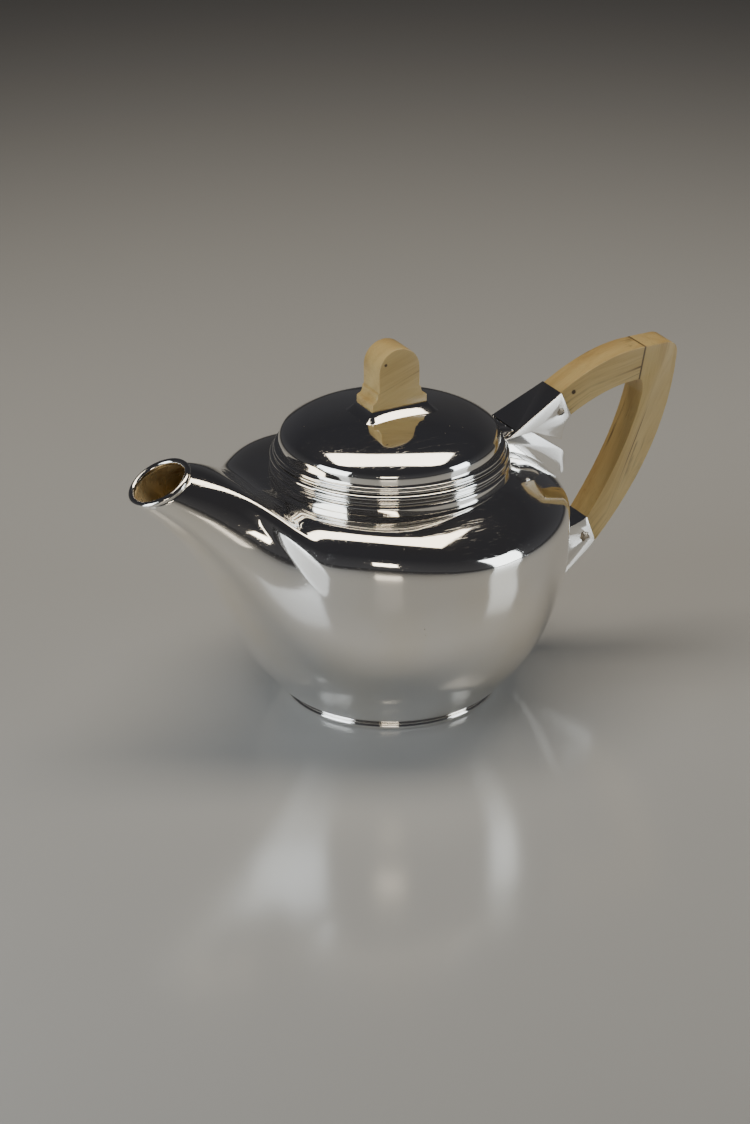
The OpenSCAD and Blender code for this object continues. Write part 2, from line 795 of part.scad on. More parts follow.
// The pot's two knuckles, each with a block soldered to the collar
module hinge_knuckles() {
    inner = knuckle_w / 2 + knuckle_gap;
    outer = hinge_w / 2;
    block = 5;
    lap = 0.3;
    color(silver) for (side = [-1, 1]) {
        near = side > 0 ? inner : -outer;
        union() {
            barrel(near, near + outer - inner, hinge_pin_r);
            difference() {
                translate([neck_r - block, near, hinge_z - barrel_r])
                    cube([block + hinge_out, outer - inner, 2 * barrel_r]);
                cylinder(h = tall, r = bead_out - solder);
                translate([hinge_x, 0, hinge_z]) rotate([90, 0, 0])
                    cylinder(h = 2 * hinge_w, r = barrel_r - lap, center = true);
            }
        }
    }
}

module hinge_pin() {
    color(silver) translate([hinge_x, 0, hinge_z]) rotate([90, 0, 0])
        cylinder(h = hinge_w, r = hinge_pin_r, center = true);
}

// Everything on the lid is drawn closed, or opened for a look
module opened() {
    translate([hinge_x, 0, hinge_z]) rotate([0, lid_open, 0])
        translate([-hinge_x, 0, -hinge_z]) children();
}

// How far the rim reaches in past the bezel
rim_lap = 0.6;

// Moulded rim of the lid: two fine beads
module lid_rim() {
    small = rim_h / 4;
    bend = 60;
    inner = bezel_r - bezel_t - rim_lap;
    color(silver) opened() turned(concat(
        [[inner, seat_z]],
        arc([rim_out - small, seat_z + small], small, -90, bend),
        arc([rim_out - small - rim_step, seat_z + 3 * small], small, -bend, 90),
        [[inner, dome_z]]));
}

// Upright flange that steadies the lid in the collar
module lid_bezel() {
    color(silver) opened() turned([
        [bezel_r - bezel_t, seat_z - bezel_h], [bezel_r, seat_z - bezel_h],
        [bezel_r, seat_z], [bezel_r - bezel_t, seat_z]]);
}

// Outline of the dome's surface from the wall to the crown, set in by t
function dome_line(t) =
    let (edge = arc(edge_c, dome_bow - t, 90 - dome_fall, 90 - crown_fall, arc_steps / 2),
        cap = arc([0, crown_c], crown_r - t, 90 - crown_fall, 90))
    concat([[dome_r - t, dome_z]], arc(round_c, dome_round - t, 0, 90 - dome_fall),
        [for (i = [1:len(edge) - 1]) edge[i]], [for (i = [1:len(cap) - 1]) cap[i]]);

// Solid form under the dome's surface set in by t
module dome_form(t) {
    turned(concat([[0, dome_z]], dome_line(t)));
}

// Boss on the crown, from the knob's foot out into the dome
module boss() {
    edge = 0.6;
    hull() {
        translate([knob_x, 0, crown_z]) linear_extrude(boss_h)
            offset(edge) square([knob_foot_w, knob_t], center = true);
        translate([knob_x, 0, round_z]) linear_extrude(crown_z - edge - round_z)
            offset(boss_w) square([knob_foot_w, knob_t], center = true);
    }
}

// Sheet of the dome, with the boss that carries the knob
module lid_dome() {
    color(silver) opened() difference() {
        union() {
            dome_form(0);
            boss();
        }
        translate([0, 0, -lid_wall / 100]) dome_form(lid_wall);
        translate([knob_x, 0, dome_z]) cylinder(h = tall, r = bolt_r);
    }
}

// The lid's knuckle and the strap that joins it to the rim
module lid_leaf() {
    under = seat_z + solder;
    tip = 130;
    reach = 1;
    bend = 0.5;
    dip = 0.3;
    leaf_t = 1.5;
    color(silver) opened() difference() {
        union() {
            barrel(-knuckle_w / 2, knuckle_w / 2, hinge_pin_r / 2);
            slab([[rim_out - reach, under], [neck_r - bend, under],
                [hinge_x - barrel_r, hinge_z + dip], [hinge_x, hinge_z],
                [hinge_x, hinge_z] + barrel_r * [cos(tip), sin(tip)],
                [rim_out - reach, under + leaf_t]], knuckle_w);
        }
        translate([hinge_x, 0, hinge_z]) rotate([90, 0, 0])
            cylinder(h = 2 * hinge_w, r = hinge_pin_r + hinge_play, center = true);
    }
}

// Arched knob with a spreading foot, flat where it sits on the boss
module knob() {
    half = knob_w / 2;
    foot = knob_foot_w / 2;
    foot_top = boss_z + knob_foot_h;
    cove_top = foot_top + knob_cove_h - knob_step;
    spring = boss_z + knob_h - half;
    lip = [0.6, 0.5];
    sag = 0.8;
    neck = half + knob_step;
    right = concat(
        [[foot, boss_z], [foot, foot_top]],
        curve([foot - lip[0], foot_top + lip[1]], [neck, foot_top + sag],
            [neck, cove_top]),
        [[neck, cove_top + knob_step / 2], [half, cove_top + knob_step]]);
    left = [for (i = [len(right) - 1:-1:0]) [-right[i][0], right[i][1]]];
    color(pale_wood) opened() difference() {
        translate([knob_x, 0, 0])
            slab(concat(right, arc([0, spring], half, 0, 180, 2 * arc_steps), left), knob_t);
        translate([knob_x, 0, boss_z - past]) cylinder(h = bolt_grip + past, r = bolt_r);
    }
}

// Washer's sag under the crown's curve, and the bolt's end below the nut
washer_sag = 0.2;
bolt_end = 1;
washer_low = crown_z - lid_wall - washer_t - washer_sag;

// Threaded rod from the nut, through the crown, into the knob
module knob_bolt() {
    low = washer_low - nut_t - bolt_end;
    color(brass) opened() translate([knob_x, 0, low])
        cylinder(h = boss_z + bolt_grip - low, r = bolt_r);
}

module knob_washer() {
    over = 3;
    color(brass) opened() difference() {
        translate([knob_x, 0, washer_low]) cylinder(h = washer_t + past, r = washer_r);
        difference() {
            translate([0, 0, past]) dome_form(-over);
            dome_form(lid_wall);
        }
        translate([knob_x, 0, washer_low - past])
            cylinder(h = washer_t + 3 * past, r = bolt_r);
    }
}

module knob_nut() {
    sides = 6;
    color(brass) opened() translate([knob_x, 0, washer_low - nut_t]) difference() {
        cylinder(h = nut_t, r = nut_d / 2, $fn = sides);
        translate([0, 0, -past]) cylinder(h = nut_t + 2 * past, r = bolt_r);
    }
}

body_shell();
base_plate();
spout_rim();
strainer();
shoulder_step();
collar_ring();
socket_foot();
upper_socket();
lower_socket();
hinge_knuckles();
hinge_pin();
upper_arm();
outer_arm();
arm_dowel();
upper_pin();
lower_pin();
lid_rim();
lid_bezel();
lid_dome();
lid_leaf();
knob();
knob_bolt();
knob_washer();
knob_nut();
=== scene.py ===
"""Silver teapot: its sheet, mouldings, fittings and carved handle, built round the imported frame."""

from __future__ import annotations

import logging
import math
from dataclasses import dataclass, field
from enum import Enum
from typing import Callable, Sequence

import bmesh
import bpy
from mathutils import Matrix, Quaternion, Vector, noise

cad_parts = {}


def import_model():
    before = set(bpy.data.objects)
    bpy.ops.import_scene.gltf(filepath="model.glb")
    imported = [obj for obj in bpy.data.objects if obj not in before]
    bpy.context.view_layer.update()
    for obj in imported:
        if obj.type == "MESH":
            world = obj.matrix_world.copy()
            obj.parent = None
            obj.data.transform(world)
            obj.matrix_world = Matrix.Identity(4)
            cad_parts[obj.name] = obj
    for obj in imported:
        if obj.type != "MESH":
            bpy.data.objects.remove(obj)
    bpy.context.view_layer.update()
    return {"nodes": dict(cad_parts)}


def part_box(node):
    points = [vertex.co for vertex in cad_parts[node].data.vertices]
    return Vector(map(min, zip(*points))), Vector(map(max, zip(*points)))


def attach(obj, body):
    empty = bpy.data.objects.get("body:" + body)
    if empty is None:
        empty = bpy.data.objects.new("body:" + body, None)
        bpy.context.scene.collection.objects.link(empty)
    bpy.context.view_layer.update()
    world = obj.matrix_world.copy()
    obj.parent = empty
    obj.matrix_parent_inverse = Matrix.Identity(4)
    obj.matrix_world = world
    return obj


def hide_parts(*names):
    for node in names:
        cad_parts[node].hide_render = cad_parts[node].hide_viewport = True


LOG = logging.getLogger("teapot")
MM = 0.001
STRAIGHT_DOWN = 0.99
PANEL_TURN = math.atan2(-0.4715, 0.8819)
SEAM_SLANT = 0.2
SEAM_TOP = (112.4, 124.5)
SEAM_AT = (SEAM_TOP[0] - SEAM_SLANT * SEAM_TOP[1]) * MM
Outline = list[tuple[float, float]]


class Slot(Enum):
    """Material slots of the record."""

    SILVER = "silver"
    PALE_WOOD = "pale_wood"
    BRASS = "brass"


class BodyName(Enum):
    """Rigid bodies of the teapot."""

    POT = "pot"
    LID = "lid"


# --- shader writing -------------------------------------------------------


class Signal:
    """A shader socket that takes part in ordinary arithmetic."""

    def __init__(self, tree: ShaderTree, socket: bpy.types.NodeSocket) -> None:
        """Wraps a socket.

        Args:
            tree: The tree that the socket belongs to.
            socket: The output socket that carries the value.
        """
        self.tree = tree
        self.socket = socket

    def _math(self, operation: str, first: object, second: object) -> Signal:
        """Adds a Math node.

        Args:
            operation: The Math node's operation.
            first: Value or signal for its first socket.
            second: Value or signal for its second socket.

        Returns:
            The result as a signal.
        """
        node = self.tree.node("ShaderNodeMath", {"operation": operation}, {0: first, 1: second})
        return Signal(self.tree, node.outputs[0])

    def __add__(self, other: object) -> Signal:
        """Sum of this signal and another value."""
        return self._math("ADD", self, other)

    def __sub__(self, other: object) -> Signal:
        """This signal less another value."""
        return self._math("SUBTRACT", self, other)

    def __rsub__(self, other: object) -> Signal:
        """Another value less this signal."""
        return self._math("SUBTRACT", other, self)

    def __mul__(self, other: object) -> Signal:
        """Product of this signal and another value."""
        return self._math("MULTIPLY", self, other)

    def distance_from(self, level: float) -> Signal:
        """Absolute distance of this signal from a level."""
        return self._math("ABSOLUTE", self - level, 0.0)

    def highest(self, other: object) -> Signal:
        """Larger of this signal and another value."""
        return self._math("MAXIMUM", self, other)

    def between(self, low: float, high: float) -> Signal:
        """Smooth rise from 0 at one level to 1 at another.

        Args:
            low: Level at which the result is 0.
            high: Level at which the result is 1.

        Returns:
            The smooth step as a signal.
        """
        node = self.tree.node(
            "ShaderNodeMapRange",
            {"interpolation_type": "SMOOTHSTEP", "clamp": True},
            {"Value": self, "From Min": low, "From Max": high},
        )
        return Signal(self.tree, node.outputs["Result"])


class ShaderTree:
    """Writes one material's nodes."""

    def __init__(self, name: str) -> None:
        """Starts an empty material.

        Args:
            name: Name of the material.
        """
        self.material = bpy.data.materials.new(name)
        self.material.use_nodes = True
        self.nodes = self.material.node_tree.nodes
        self.links = self.material.node_tree.links
        self.nodes.clear()

    def node(
        self, kind: str, settings: dict | None = None, inputs: dict | None = None
    ) -> bpy.types.Node:
        """Adds a node, sets its options and then its sockets.

        Args:
            kind: Type name of the node.
            settings: Its options.
            inputs: Values, sockets or signals by socket name, number or identifier.

        Returns:
            The new node.
        """
        made = self.nodes.new(kind)
        for name, value in (settings or {}).items():
            setattr(made, name, value)
        for key, value in (inputs or {}).items():
            self.connect(value, self._socket(made, key))
        return made

    @staticmethod
    def _socket(made: bpy.types.Node, key: object) -> bpy.types.NodeSocket:
        """Finds an input socket by number, name or identifier.

        Args:
            made: The node.
            key: Number, name or identifier of the socket.

        Returns:
            The input socket.
        """
        if isinstance(key, int):
            return made.inputs[key]
        for socket in made.inputs:
            if socket.identifier == key:
                return socket
        return made.inputs[key]

    def connect(self, value: object, socket: bpy.types.NodeSocket) -> None:
        """Links or sets a socket.

        Args:
            value: A signal, an output socket or a plain value.
            socket: The input socket.
        """
        if isinstance(value, Signal):
            self.links.new(value.socket, socket)
        elif isinstance(value, bpy.types.NodeSocket):
            self.links.new(value, socket)
        elif value is not None:
            socket.default_value = value

    def place(self) -> bpy.types.NodeSocket:
        """Object coordinates, in metres."""
        return self.node("ShaderNodeTexCoord").outputs["Object"]

    def attribute(self, name: str) -> bpy.types.NodeSocket:
        """A piece's own vector attribute."""
        return self.node("ShaderNodeAttribute", {"attribute_name": name}).outputs["Vector"]

    def stretched(
        self,
        vector: object,
        scale: tuple[float, float, float],
        turn: tuple[float, float, float] = (0.0, 0.0, 0.0),
        shift: tuple[float, float, float] = (0.0, 0.0, 0.0),
    ) -> bpy.types.NodeSocket:
        """Coordinates with their own scale, turn and shift on each axis.

        Args:
            vector: The coordinates.
            scale: Scale along each axis.
            turn: Turn about each axis, in radians.
            shift: Shift along each axis.

        Returns:
            The new coordinates.
        """
        made = self.node(
            "ShaderNodeMapping",
            {"vector_type": "POINT"},
            {"Vector": vector, "Location": shift, "Rotation": turn, "Scale": scale},
        )
        return made.outputs["Vector"]

    def axis(self, vector: object, letter: str) -> Signal:
        """One component of a vector."""
        made = self.node("ShaderNodeSeparateXYZ", None, {"Vector": vector})
        return Signal(self, made.outputs[letter])

    def cloud(
        self, vector: object, scale: float, detail: float = 3.0, rough: float = 0.5,
        warp: float = 0.0,
    ) -> Signal:
        """Smooth noise.

        Args:
            vector: The coordinates.
            scale: Number of features in a metre.
            detail: Number of finer layers.
            rough: Strength of the finer layers.
            warp: Distortion of the pattern.

        Returns:
            The noise, about 0.5 on average.
        """
        made = self.node(
            "ShaderNodeTexNoise",
            {"noise_dimensions": "3D"},
            {"Vector": vector, "Scale": scale, "Detail": detail, "Roughness": rough,
             "Distortion": warp},
        )
        return Signal(self, made.outputs[0])

    def specks(self, vector: object, scale: float) -> Signal:
        """Distance from scattered points, for pits and spots."""
        made = self.node(
            "ShaderNodeTexVoronoi",
            {"feature": "F1", "voronoi_dimensions": "3D"},
            {"Vector": vector, "Scale": scale, "Randomness": 1.0},
        )
        return Signal(self, made.outputs["Distance"])

    def near(self, vector: object, point: tuple[float, float, float]) -> Signal:
        """Distance from one point, in metres."""
        made = self.node(
            "ShaderNodeVectorMath", {"operation": "DISTANCE"}, {0: vector, 1: point}
        )
        return Signal(self, made.outputs["Value"])

    def blend(self, base: object, over: object, share: object) -> bpy.types.NodeSocket:
        """Mix of two colours.

        Args:
            base: Colour where the share is 0.
            over: Colour where the share is 1.
            share: Share of the second colour.

        Returns:
            The mixed colour.
        """
        made = self.node(
            "ShaderNodeMix",
            {"data_type": "RGBA", "clamp_factor": True},
            {"Factor_Float": share, "A_Color": base, "B_Color": over},
        )
        return next(o for o in made.outputs if o.identifier == "Result_Color")

    def bump(self, height: Signal, depth: float, strength: float = 1.0,
             under: object = None) -> bpy.types.NodeSocket:
        """Relief from a height.

        Args:
            height: Height, from 0 to 1.
            depth: Height in metres that 1 stands for.
            strength: Share of the relief that shows.
            under: Normal that this relief is laid on.

        Returns:
            The new normal.
        """
        made = self.node(
            "ShaderNodeBump",
            None,
            {"Height": height, "Distance": depth, "Strength": strength, "Normal": under},
        )
        return made.outputs["Normal"]

    def finish(self, sockets: dict) -> bpy.types.Material:
        """Adds the surface shader.

        Args:
            sockets: Values or links of its sockets, by name.

        Returns:
            The finished material.
        """
        shader = self.node("ShaderNodeBsdfPrincipled", None, sockets)
        self.node("ShaderNodeOutputMaterial", None, {"Surface": shader.outputs["BSDF"]})
        return self.material


# --- finishes -------------------------------------------------------------


@dataclass(frozen=True)
class SilverFinish:
    """Polished silver with a maker's ripples, rubbing scratches and small pits."""

    name: str = "polished silver"
    bright: tuple[float, float, float] = (0.955, 0.945, 0.925)
    warm: tuple[float, float, float] = (0.93, 0.885, 0.80)
    dull: tuple[float, float, float] = (0.30, 0.25, 0.19)
    gloss: float = 0.035
    ripple: float = 0.00010
    wear: float = 1.0

    def make(self) -> bpy.types.Material:
        """Builds the material.

        Returns:
            The material.
        """
        tree = ShaderTree(self.name)
        place = tree.place()
        patches = tree.cloud(place, 22.0, 3.0)
        haze = tree.cloud(place, 95.0, 4.0, 0.6)
        rubs = self._scratches(tree, place, 0.4, 0.66)
        fine = self._scratches(tree, place, 2.1, 0.64)
        pits = 1 - tree.specks(place, 330.0).between(0.05, 0.13)
        sparse = tree.cloud(place, 60.0, 2.0).between(0.56, 0.68)
        pitted = pits * sparse * self.wear
        colour = tree.blend((*self.bright, 1), (*self.warm, 1), patches.between(0.35, 0.75))
        colour = tree.blend(colour, (*self.dull, 1), pitted * 0.75)
        marks = rubs.highest(fine) * self.wear
        rough = haze * 0.05 + marks * 0.10 + pitted * 0.35 + self.gloss
        wave = tree.cloud(place, 46.0, 2.0, 0.4)
        normal = tree.bump(wave, self.ripple, 0.6)
        normal = tree.bump(1 - marks * 0.5 - pitted, 0.000012, 0.5, normal)
        return tree.finish(
            {"Base Color": colour, "Metallic": 1.0, "Roughness": rough, "Normal": normal}
        )

    @staticmethod
    def _scratches(tree: ShaderTree, place: object, turn: float, level: float) -> Signal:
        """Long fine marks in one direction.

        Args:
            tree: The tree.
            place: Coordinates.
            turn: Direction of the marks, in radians.
            level: Level of the noise above which a mark shows.

        Returns:
            A mask of the marks.
        """
        long_way = tree.stretched(place, (40.0, 1500.0, 1500.0), (turn, 0.7 * turn, turn))
        return tree.cloud(long_way, 1.0, 2.0, 0.5).between(level, level + 0.06)


@dataclass(frozen=True)
class StainedSilverFinish:
    """Silver inside the pot, stained golden brown by tea."""

    name: str = "tea-stained silver"
    pale: tuple[float, float, float] = (0.95, 0.80, 0.50)
    brown: tuple[float, float, float] = (0.42, 0.25, 0.09)

    def make(self) -> bpy.types.Material:
        """Builds the material.

        Returns:
            The material.
        """
        tree = ShaderTree(self.name)
        place = tree.place()
        blots = tree.cloud(place, 70.0, 5.0, 0.65, 0.6)
        drips = tree.cloud(tree.stretched(place, (160.0, 160.0, 30.0)), 1.0, 4.0, 0.6)
        stain = (blots * 0.6 + drips * 0.5).between(0.47, 0.74)
        colour = tree.blend((*self.pale, 1), (*self.brown, 1), stain)
        rough = stain * 0.22 + 0.24
        normal = tree.bump(blots, 0.00008, 0.6)
        return tree.finish(
            {"Base Color": colour, "Metallic": 0.55, "Roughness": rough, "Normal": normal}
        )


@dataclass(frozen=True)
class PaleWoodFinish:
    """Close-grained pale handle material with dark streaks, rubbed smooth."""

    name: str = "pale handle"
    cream: tuple[float, float, float] = (0.64, 0.475, 0.205)
    tan: tuple[float, float, float] = (0.44, 0.285, 0.105)
    dark: tuple[float, float, float] = (0.075, 0.040, 0.016)
    streak_level: float = 0.555
    seamed: bool = False
    spots: tuple[tuple[float, float, float], ...] = ()
    spot_size: float = 0.0012

    def make(self) -> bpy.types.Material:
        """Builds the material.

        Returns:
            The material.
        """
        tree = ShaderTree(self.name)
        grain = tree.attribute("grain")
        place = tree.place()
        broad = tree.cloud(tree.stretched(grain, (14.0, 150.0, 110.0)), 1.0, 4.0, 0.55, 0.5)
        streaks = tree.cloud(
            tree.stretched(grain, (10.0, 330.0, 200.0), shift=(3.1, 0.4, 1.7)), 1.0, 5.0, 0.6, 0.9
        )
        fibre = tree.cloud(tree.stretched(grain, (70.0, 2600.0, 1900.0)), 1.0, 3.0, 0.6)
        patch = tree.cloud(grain, 28.0, 2.0).between(0.44, 0.62)
        tone = (broad * 0.75 + fibre * 0.3).between(0.38, 0.80)
        colour = tree.blend((*self.cream, 1), (*self.tan, 1), tone)
        dark_mask = streaks.between(self.streak_level, self.streak_level + 0.09) * patch
        pores = fibre.between(0.66, 0.74) * 0.35
        mask = (dark_mask * 0.8).highest(pores)
        for spot in self.spots:
            ragged = tree.near(place, spot) + (fibre - 0.5) * self.spot_size * 0.8
            mask = mask.highest(1 - ragged.between(self.spot_size * 0.5, self.spot_size))
        if self.seamed:
            across = tree.axis(place, "X") - tree.axis(place, "Z") * SEAM_SLANT
            open_joint = across.distance_from(SEAM_AT) + (fibre - 0.5) * 0.0003
            mitre = tree.axis(place, "Z").between(0.1060, 0.1085)
            mask = mask.highest((1 - open_joint.between(0.00015, 0.0006)) * mitre * 0.9)
        colour = tree.blend(colour, (*self.dark, 1), mask)
        rough = fibre * 0.14 + mask * 0.12 + 0.24
        normal = tree.bump(fibre * 0.6 - mask * 0.5, 0.00005, 0.5)
        return tree.finish(
            {
                "Base Color": colour,
                "Roughness": rough,
                "Normal": normal,
                "Coat Weight": 0.25,
                "Coat Roughness": 0.16,
                "Subsurface Weight": 0.12,
                "Subsurface Scale": 0.002,
                "Subsurface Radius": (1.0, 0.6, 0.3),
            }
        )


@dataclass(frozen=True)
class BrassFinish:
    """Turned brass of the hidden fastenings."""

    name: str = "turned brass"
    yellow: tuple[float, float, float] = (0.80, 0.62, 0.30)
    brown: tuple[float, float, float] = (0.42, 0.28, 0.12)

    def make(self) -> bpy.types.Material:
        """Builds the material.

        Returns:
            The material.
        """
        tree = ShaderTree(self.name)
        place = tree.place()
        patina = tree.cloud(place, 260.0, 5.0, 0.6).between(0.42, 0.7)
        turned = tree.cloud(tree.stretched(place, (120.0, 120.0, 4200.0)), 1.0, 2.0)
        colour = tree.blend((*self.yellow, 1), (*self.brown, 1), patina)
        rough = patina * 0.25 + turned * 0.12 + 0.18
        return tree.finish(
            {
                "Base Color": colour,
                "Metallic": 1.0,
                "Roughness": rough,
                "Normal": tree.bump(turned, 0.00002, 0.5),
            }
        )


@dataclass(frozen=True)
class FloorFinish:
    """Floor that is pale round the teapot, with a painted falloff of light that darkens it away from
    the teapot.
    """

    name: str = "pale floor"
    pale: tuple[float, float, float] = (0.50, 0.50, 0.495)
    # painted shade: the dark grey the floor fades to away from the teapot, standing in for light
    # falling off
    painted_falloff_grey: tuple[float, float, float] = (0.11, 0.11, 0.112)

    def make(self) -> bpy.types.Material:
        """Builds the material.

        Returns:
            The material.
        """
        tree = ShaderTree(self.name)
        place = tree.place()
        tint = tree.cloud(place, 3.0, 4.0)
        darker = tuple(0.96 * c for c in self.pale)
        colour = tree.blend((*self.pale, 1), (*darker, 1), tint)
        # painted falloff of light: the floor darkens with distance from the teapot, a painted pool of
        # light round it
        painted_falloff_share = tree.near(place, (0.0, 0.0, 0.0)).between(0.30, 1.15)
        colour = tree.blend(colour, (*self.painted_falloff_grey, 1), painted_falloff_share)
        return tree.finish({"Base Color": colour, "Roughness": 0.16, "Specular IOR Level": 0.6})


@dataclass
class Finishes:
    """Every material of the teapot, built once."""

    silver: bpy.types.Material = field(init=False)
    stained: bpy.types.Material = field(init=False)
    fitting: bpy.types.Material = field(init=False)
    handle: bpy.types.Material = field(init=False)
    knob: bpy.types.Material = field(init=False)
    brass: bpy.types.Material = field(init=False)
    pins: bpy.types.Material = field(init=False)

    def __post_init__(self) -> None:
        """Builds the materials."""
        self.silver = SilverFinish().make()
        self.stained = StainedSilverFinish().make()
        self.fitting = SilverFinish(name="silver fittings", ripple=0.00002, wear=0.7).make()
        dot_on_arm = (79.3 * MM, -6.5 * MM, 111.7 * MM)
        self.handle = PaleWoodFinish(spots=(dot_on_arm,), seamed=True).make()
        dot_on_knob = (-5.0 * MM, -6.5 * MM, 139.5 * MM)
        self.knob = PaleWoodFinish(
            name="pale knob", streak_level=0.60, spots=(dot_on_knob,), spot_size=0.0008
        ).make()
        self.brass = BrassFinish().make()
        self.pins = SilverFinish(
            name="tarnished pins", bright=(0.40, 0.35, 0.28), warm=(0.24, 0.19, 0.14), gloss=0.28
        ).make()


# --- mesh helpers ---------------------------------------------------------


def arc(
    centre: tuple[float, float], radius: float, start: float, end: float, steps: int = 12
) -> Outline:
    """Points along a circle's arc.

    Args:
        centre: Centre of the circle.
        radius: Its radius.
        start: First angle, in degrees.
        end: Last angle, in degrees.
        steps: Number of steps.

    Returns:
        The points, both ends included.
    """
    points = []
    for i in range(steps + 1):
        angle = math.radians(start + (end - start) * i / steps)
        points.append((centre[0] + radius * math.cos(angle), centre[1] + radius * math.sin(angle)))
    return points


def smooth_step(value: float) -> float:
    """Smooth rise from 0 to 1, held outside that range."""
    held = max(0.0, min(1.0, value))
    return held * held * (3 - 2 * held)


def to_object(bm: bmesh.types.BMesh, name: str, materials: Sequence[bpy.types.Material],
              sharp: float = 35.0) -> bpy.types.Object:
    """Turns a bmesh into a shaded object.

    Args:
        bm: The bmesh, which is freed.
        name: Name of the piece.
        materials: Its materials, in slot order.
        sharp: Angle above which an edge stays sharp, in degrees.

    Returns:
        The new object.
    """
    for face in bm.faces:
        face.smooth = True
    for edge in bm.edges:
        if len(edge.link_faces) == 2 and edge.calc_face_angle(0.0) > math.radians(sharp):
            edge.smooth = False
    mesh = bpy.data.meshes.new(name)
    bm.to_mesh(mesh)
    bm.free()
    made = bpy.data.objects.new(name, mesh)
    bpy.context.scene.collection.objects.link(made)
    for material in materials:
        mesh.materials.append(material)
    return made


def lathe(outline: Outline, steps: int = 224) -> bmesh.types.BMesh:
    """Turns a closed outline of radius and height about the pot's axis.

    Args:
        outline: Radius and height of each point, in metres.
        steps: Number of steps round the axis.

    Returns:
        The turned solid, with its faces outwards.
    """
    bm = bmesh.new()
    ring = [bm.verts.new((r, 0.0, z)) for r, z in outline]
    edges = [bm.edges.new((a, b)) for a, b in zip(ring, ring[1:] + ring[:1])]
    bmesh.ops.spin(
        bm, geom=ring + edges, cent=(0, 0, 0), axis=(0, 0, 1), angle=2 * math.pi,
        steps=steps, use_merge=True,
    )
    bmesh.ops.remove_doubles(bm, verts=bm.verts, dist=1e-7)
    loose = [e for e in bm.edges if not e.link_faces]
    bmesh.ops.delete(bm, geom=loose, context="EDGES")
    bmesh.ops.recalc_face_normals(bm, faces=bm.faces)
    return bm


def softened_copy(node: bpy.types.Object, width: float, segments: int = 3,
                  corner: float = 30.0,
                  tight: Callable[[Vector], bool] | None = None) -> bmesh.types.BMesh:
    """Copy of a frame node with its sharp edges rounded.

    Args:
        node: The frame node.
        width: Width of the rounding, in metres.
        segments: Number of segments across the rounding.
        corner: Angle above which an edge counts as sharp, in degrees.
        tight: Tells the points of a joint whose edges stay sharp.

    Returns:
        The rounded copy.
    """
    bm = bmesh.new()
    bm.from_mesh(node.data)
    bmesh.ops.remove_doubles(bm, verts=bm.verts, dist=2e-6)
    bmesh.ops.dissolve_limit(
        bm, angle_limit=math.radians(1.0), use_dissolve_boundaries=False,
        verts=bm.verts, edges=bm.edges, delimit={"NORMAL"},
    )
    sharp = [e for e in bm.edges
             if len(e.link_faces) == 2 and e.calc_face_angle(0.0) > math.radians(corner)
             and not (tight and all(tight(v.co) for v in e.verts))]
    bmesh.ops.bevel(
        bm, geom=sharp, offset=width, offset_type="OFFSET", segments=segments, profile=0.5,
        affect="EDGES", clamp_overlap=True, material=-1, miter_outer="ARC",
    )
    return bm


def add_patch(bm: bmesh.types.BMesh, across: int, up: int,
              place: Callable[[int, int], Vector]) -> None:
    """Adds a grid and lays its points on a surface.

    Args:
        bm: The mesh.
        across: Steps across the grid.
        up: Steps up the grid.
        place: Gives the point for a column and a row.
    """
    made = bmesh.ops.create_grid(bm, x_segments=across, y_segments=up, size=1.0)["verts"]
    low = min(v.co.x for v in made)
    width = max(v.co.x for v in made) - low
    floor = min(v.co.y for v in made)
    height = max(v.co.y for v in made) - floor
    for vertex in made:
        column = round((vertex.co.x - low) / width * across)
        row = round((vertex.co.y - floor) / height * up)
        vertex.co = place(column, row)


def wobble(bm: bmesh.types.BMesh, height: float, length: float, seed: float) -> None:
    """Moves a surface in and out a little, as hammering and polishing leave it.

    Args:
        bm: The mesh.
        height: Largest move, in metres.
        length: Distance between neighbouring waves, in metres.
        seed: Offset into the noise.
    """
    bm.normal_update()
    shift = Vector((seed, seed * 1.7, seed * 0.3))
    moves = [v.normal * height * noise.noise(v.co / length + shift) for v in bm.verts]
    for vertex, move in zip(bm.verts, moves):
        vertex.co += move


def write_grain(made: bpy.types.Object, path: Sequence[tuple[float, float]]) -> None:
    """Stores each point's place along, across and through a curved piece.

    Args:
        made: The piece.
        path: Middle line of the piece, as X and Z in metres.
    """
    layer = made.data.attributes.new("grain", "FLOAT_VECTOR", "POINT")
    legs = []
    travelled = 0.0
    for start, end in zip(path, path[1:]):
        a, b = Vector(start), Vector(end)
        legs.append((a, (b - a).normalized(), (b - a).length, travelled))
        travelled += (b - a).length
    for vertex in made.data.vertices:
        point = Vector((vertex.co.x, vertex.co.z))
        best = None
        for a, way, length, before in legs:
            along = max(0.0, min(length, (point - a).dot(way)))
            gap = point - a - way * along
            side = way.x * (point - a).y - way.y * (point - a).x
            if best is None or gap.length < best[0]:
                best = (gap.length, before + along, side)
        layer.data[vertex.index].vector = (best[1], best[2], vertex.co.y)


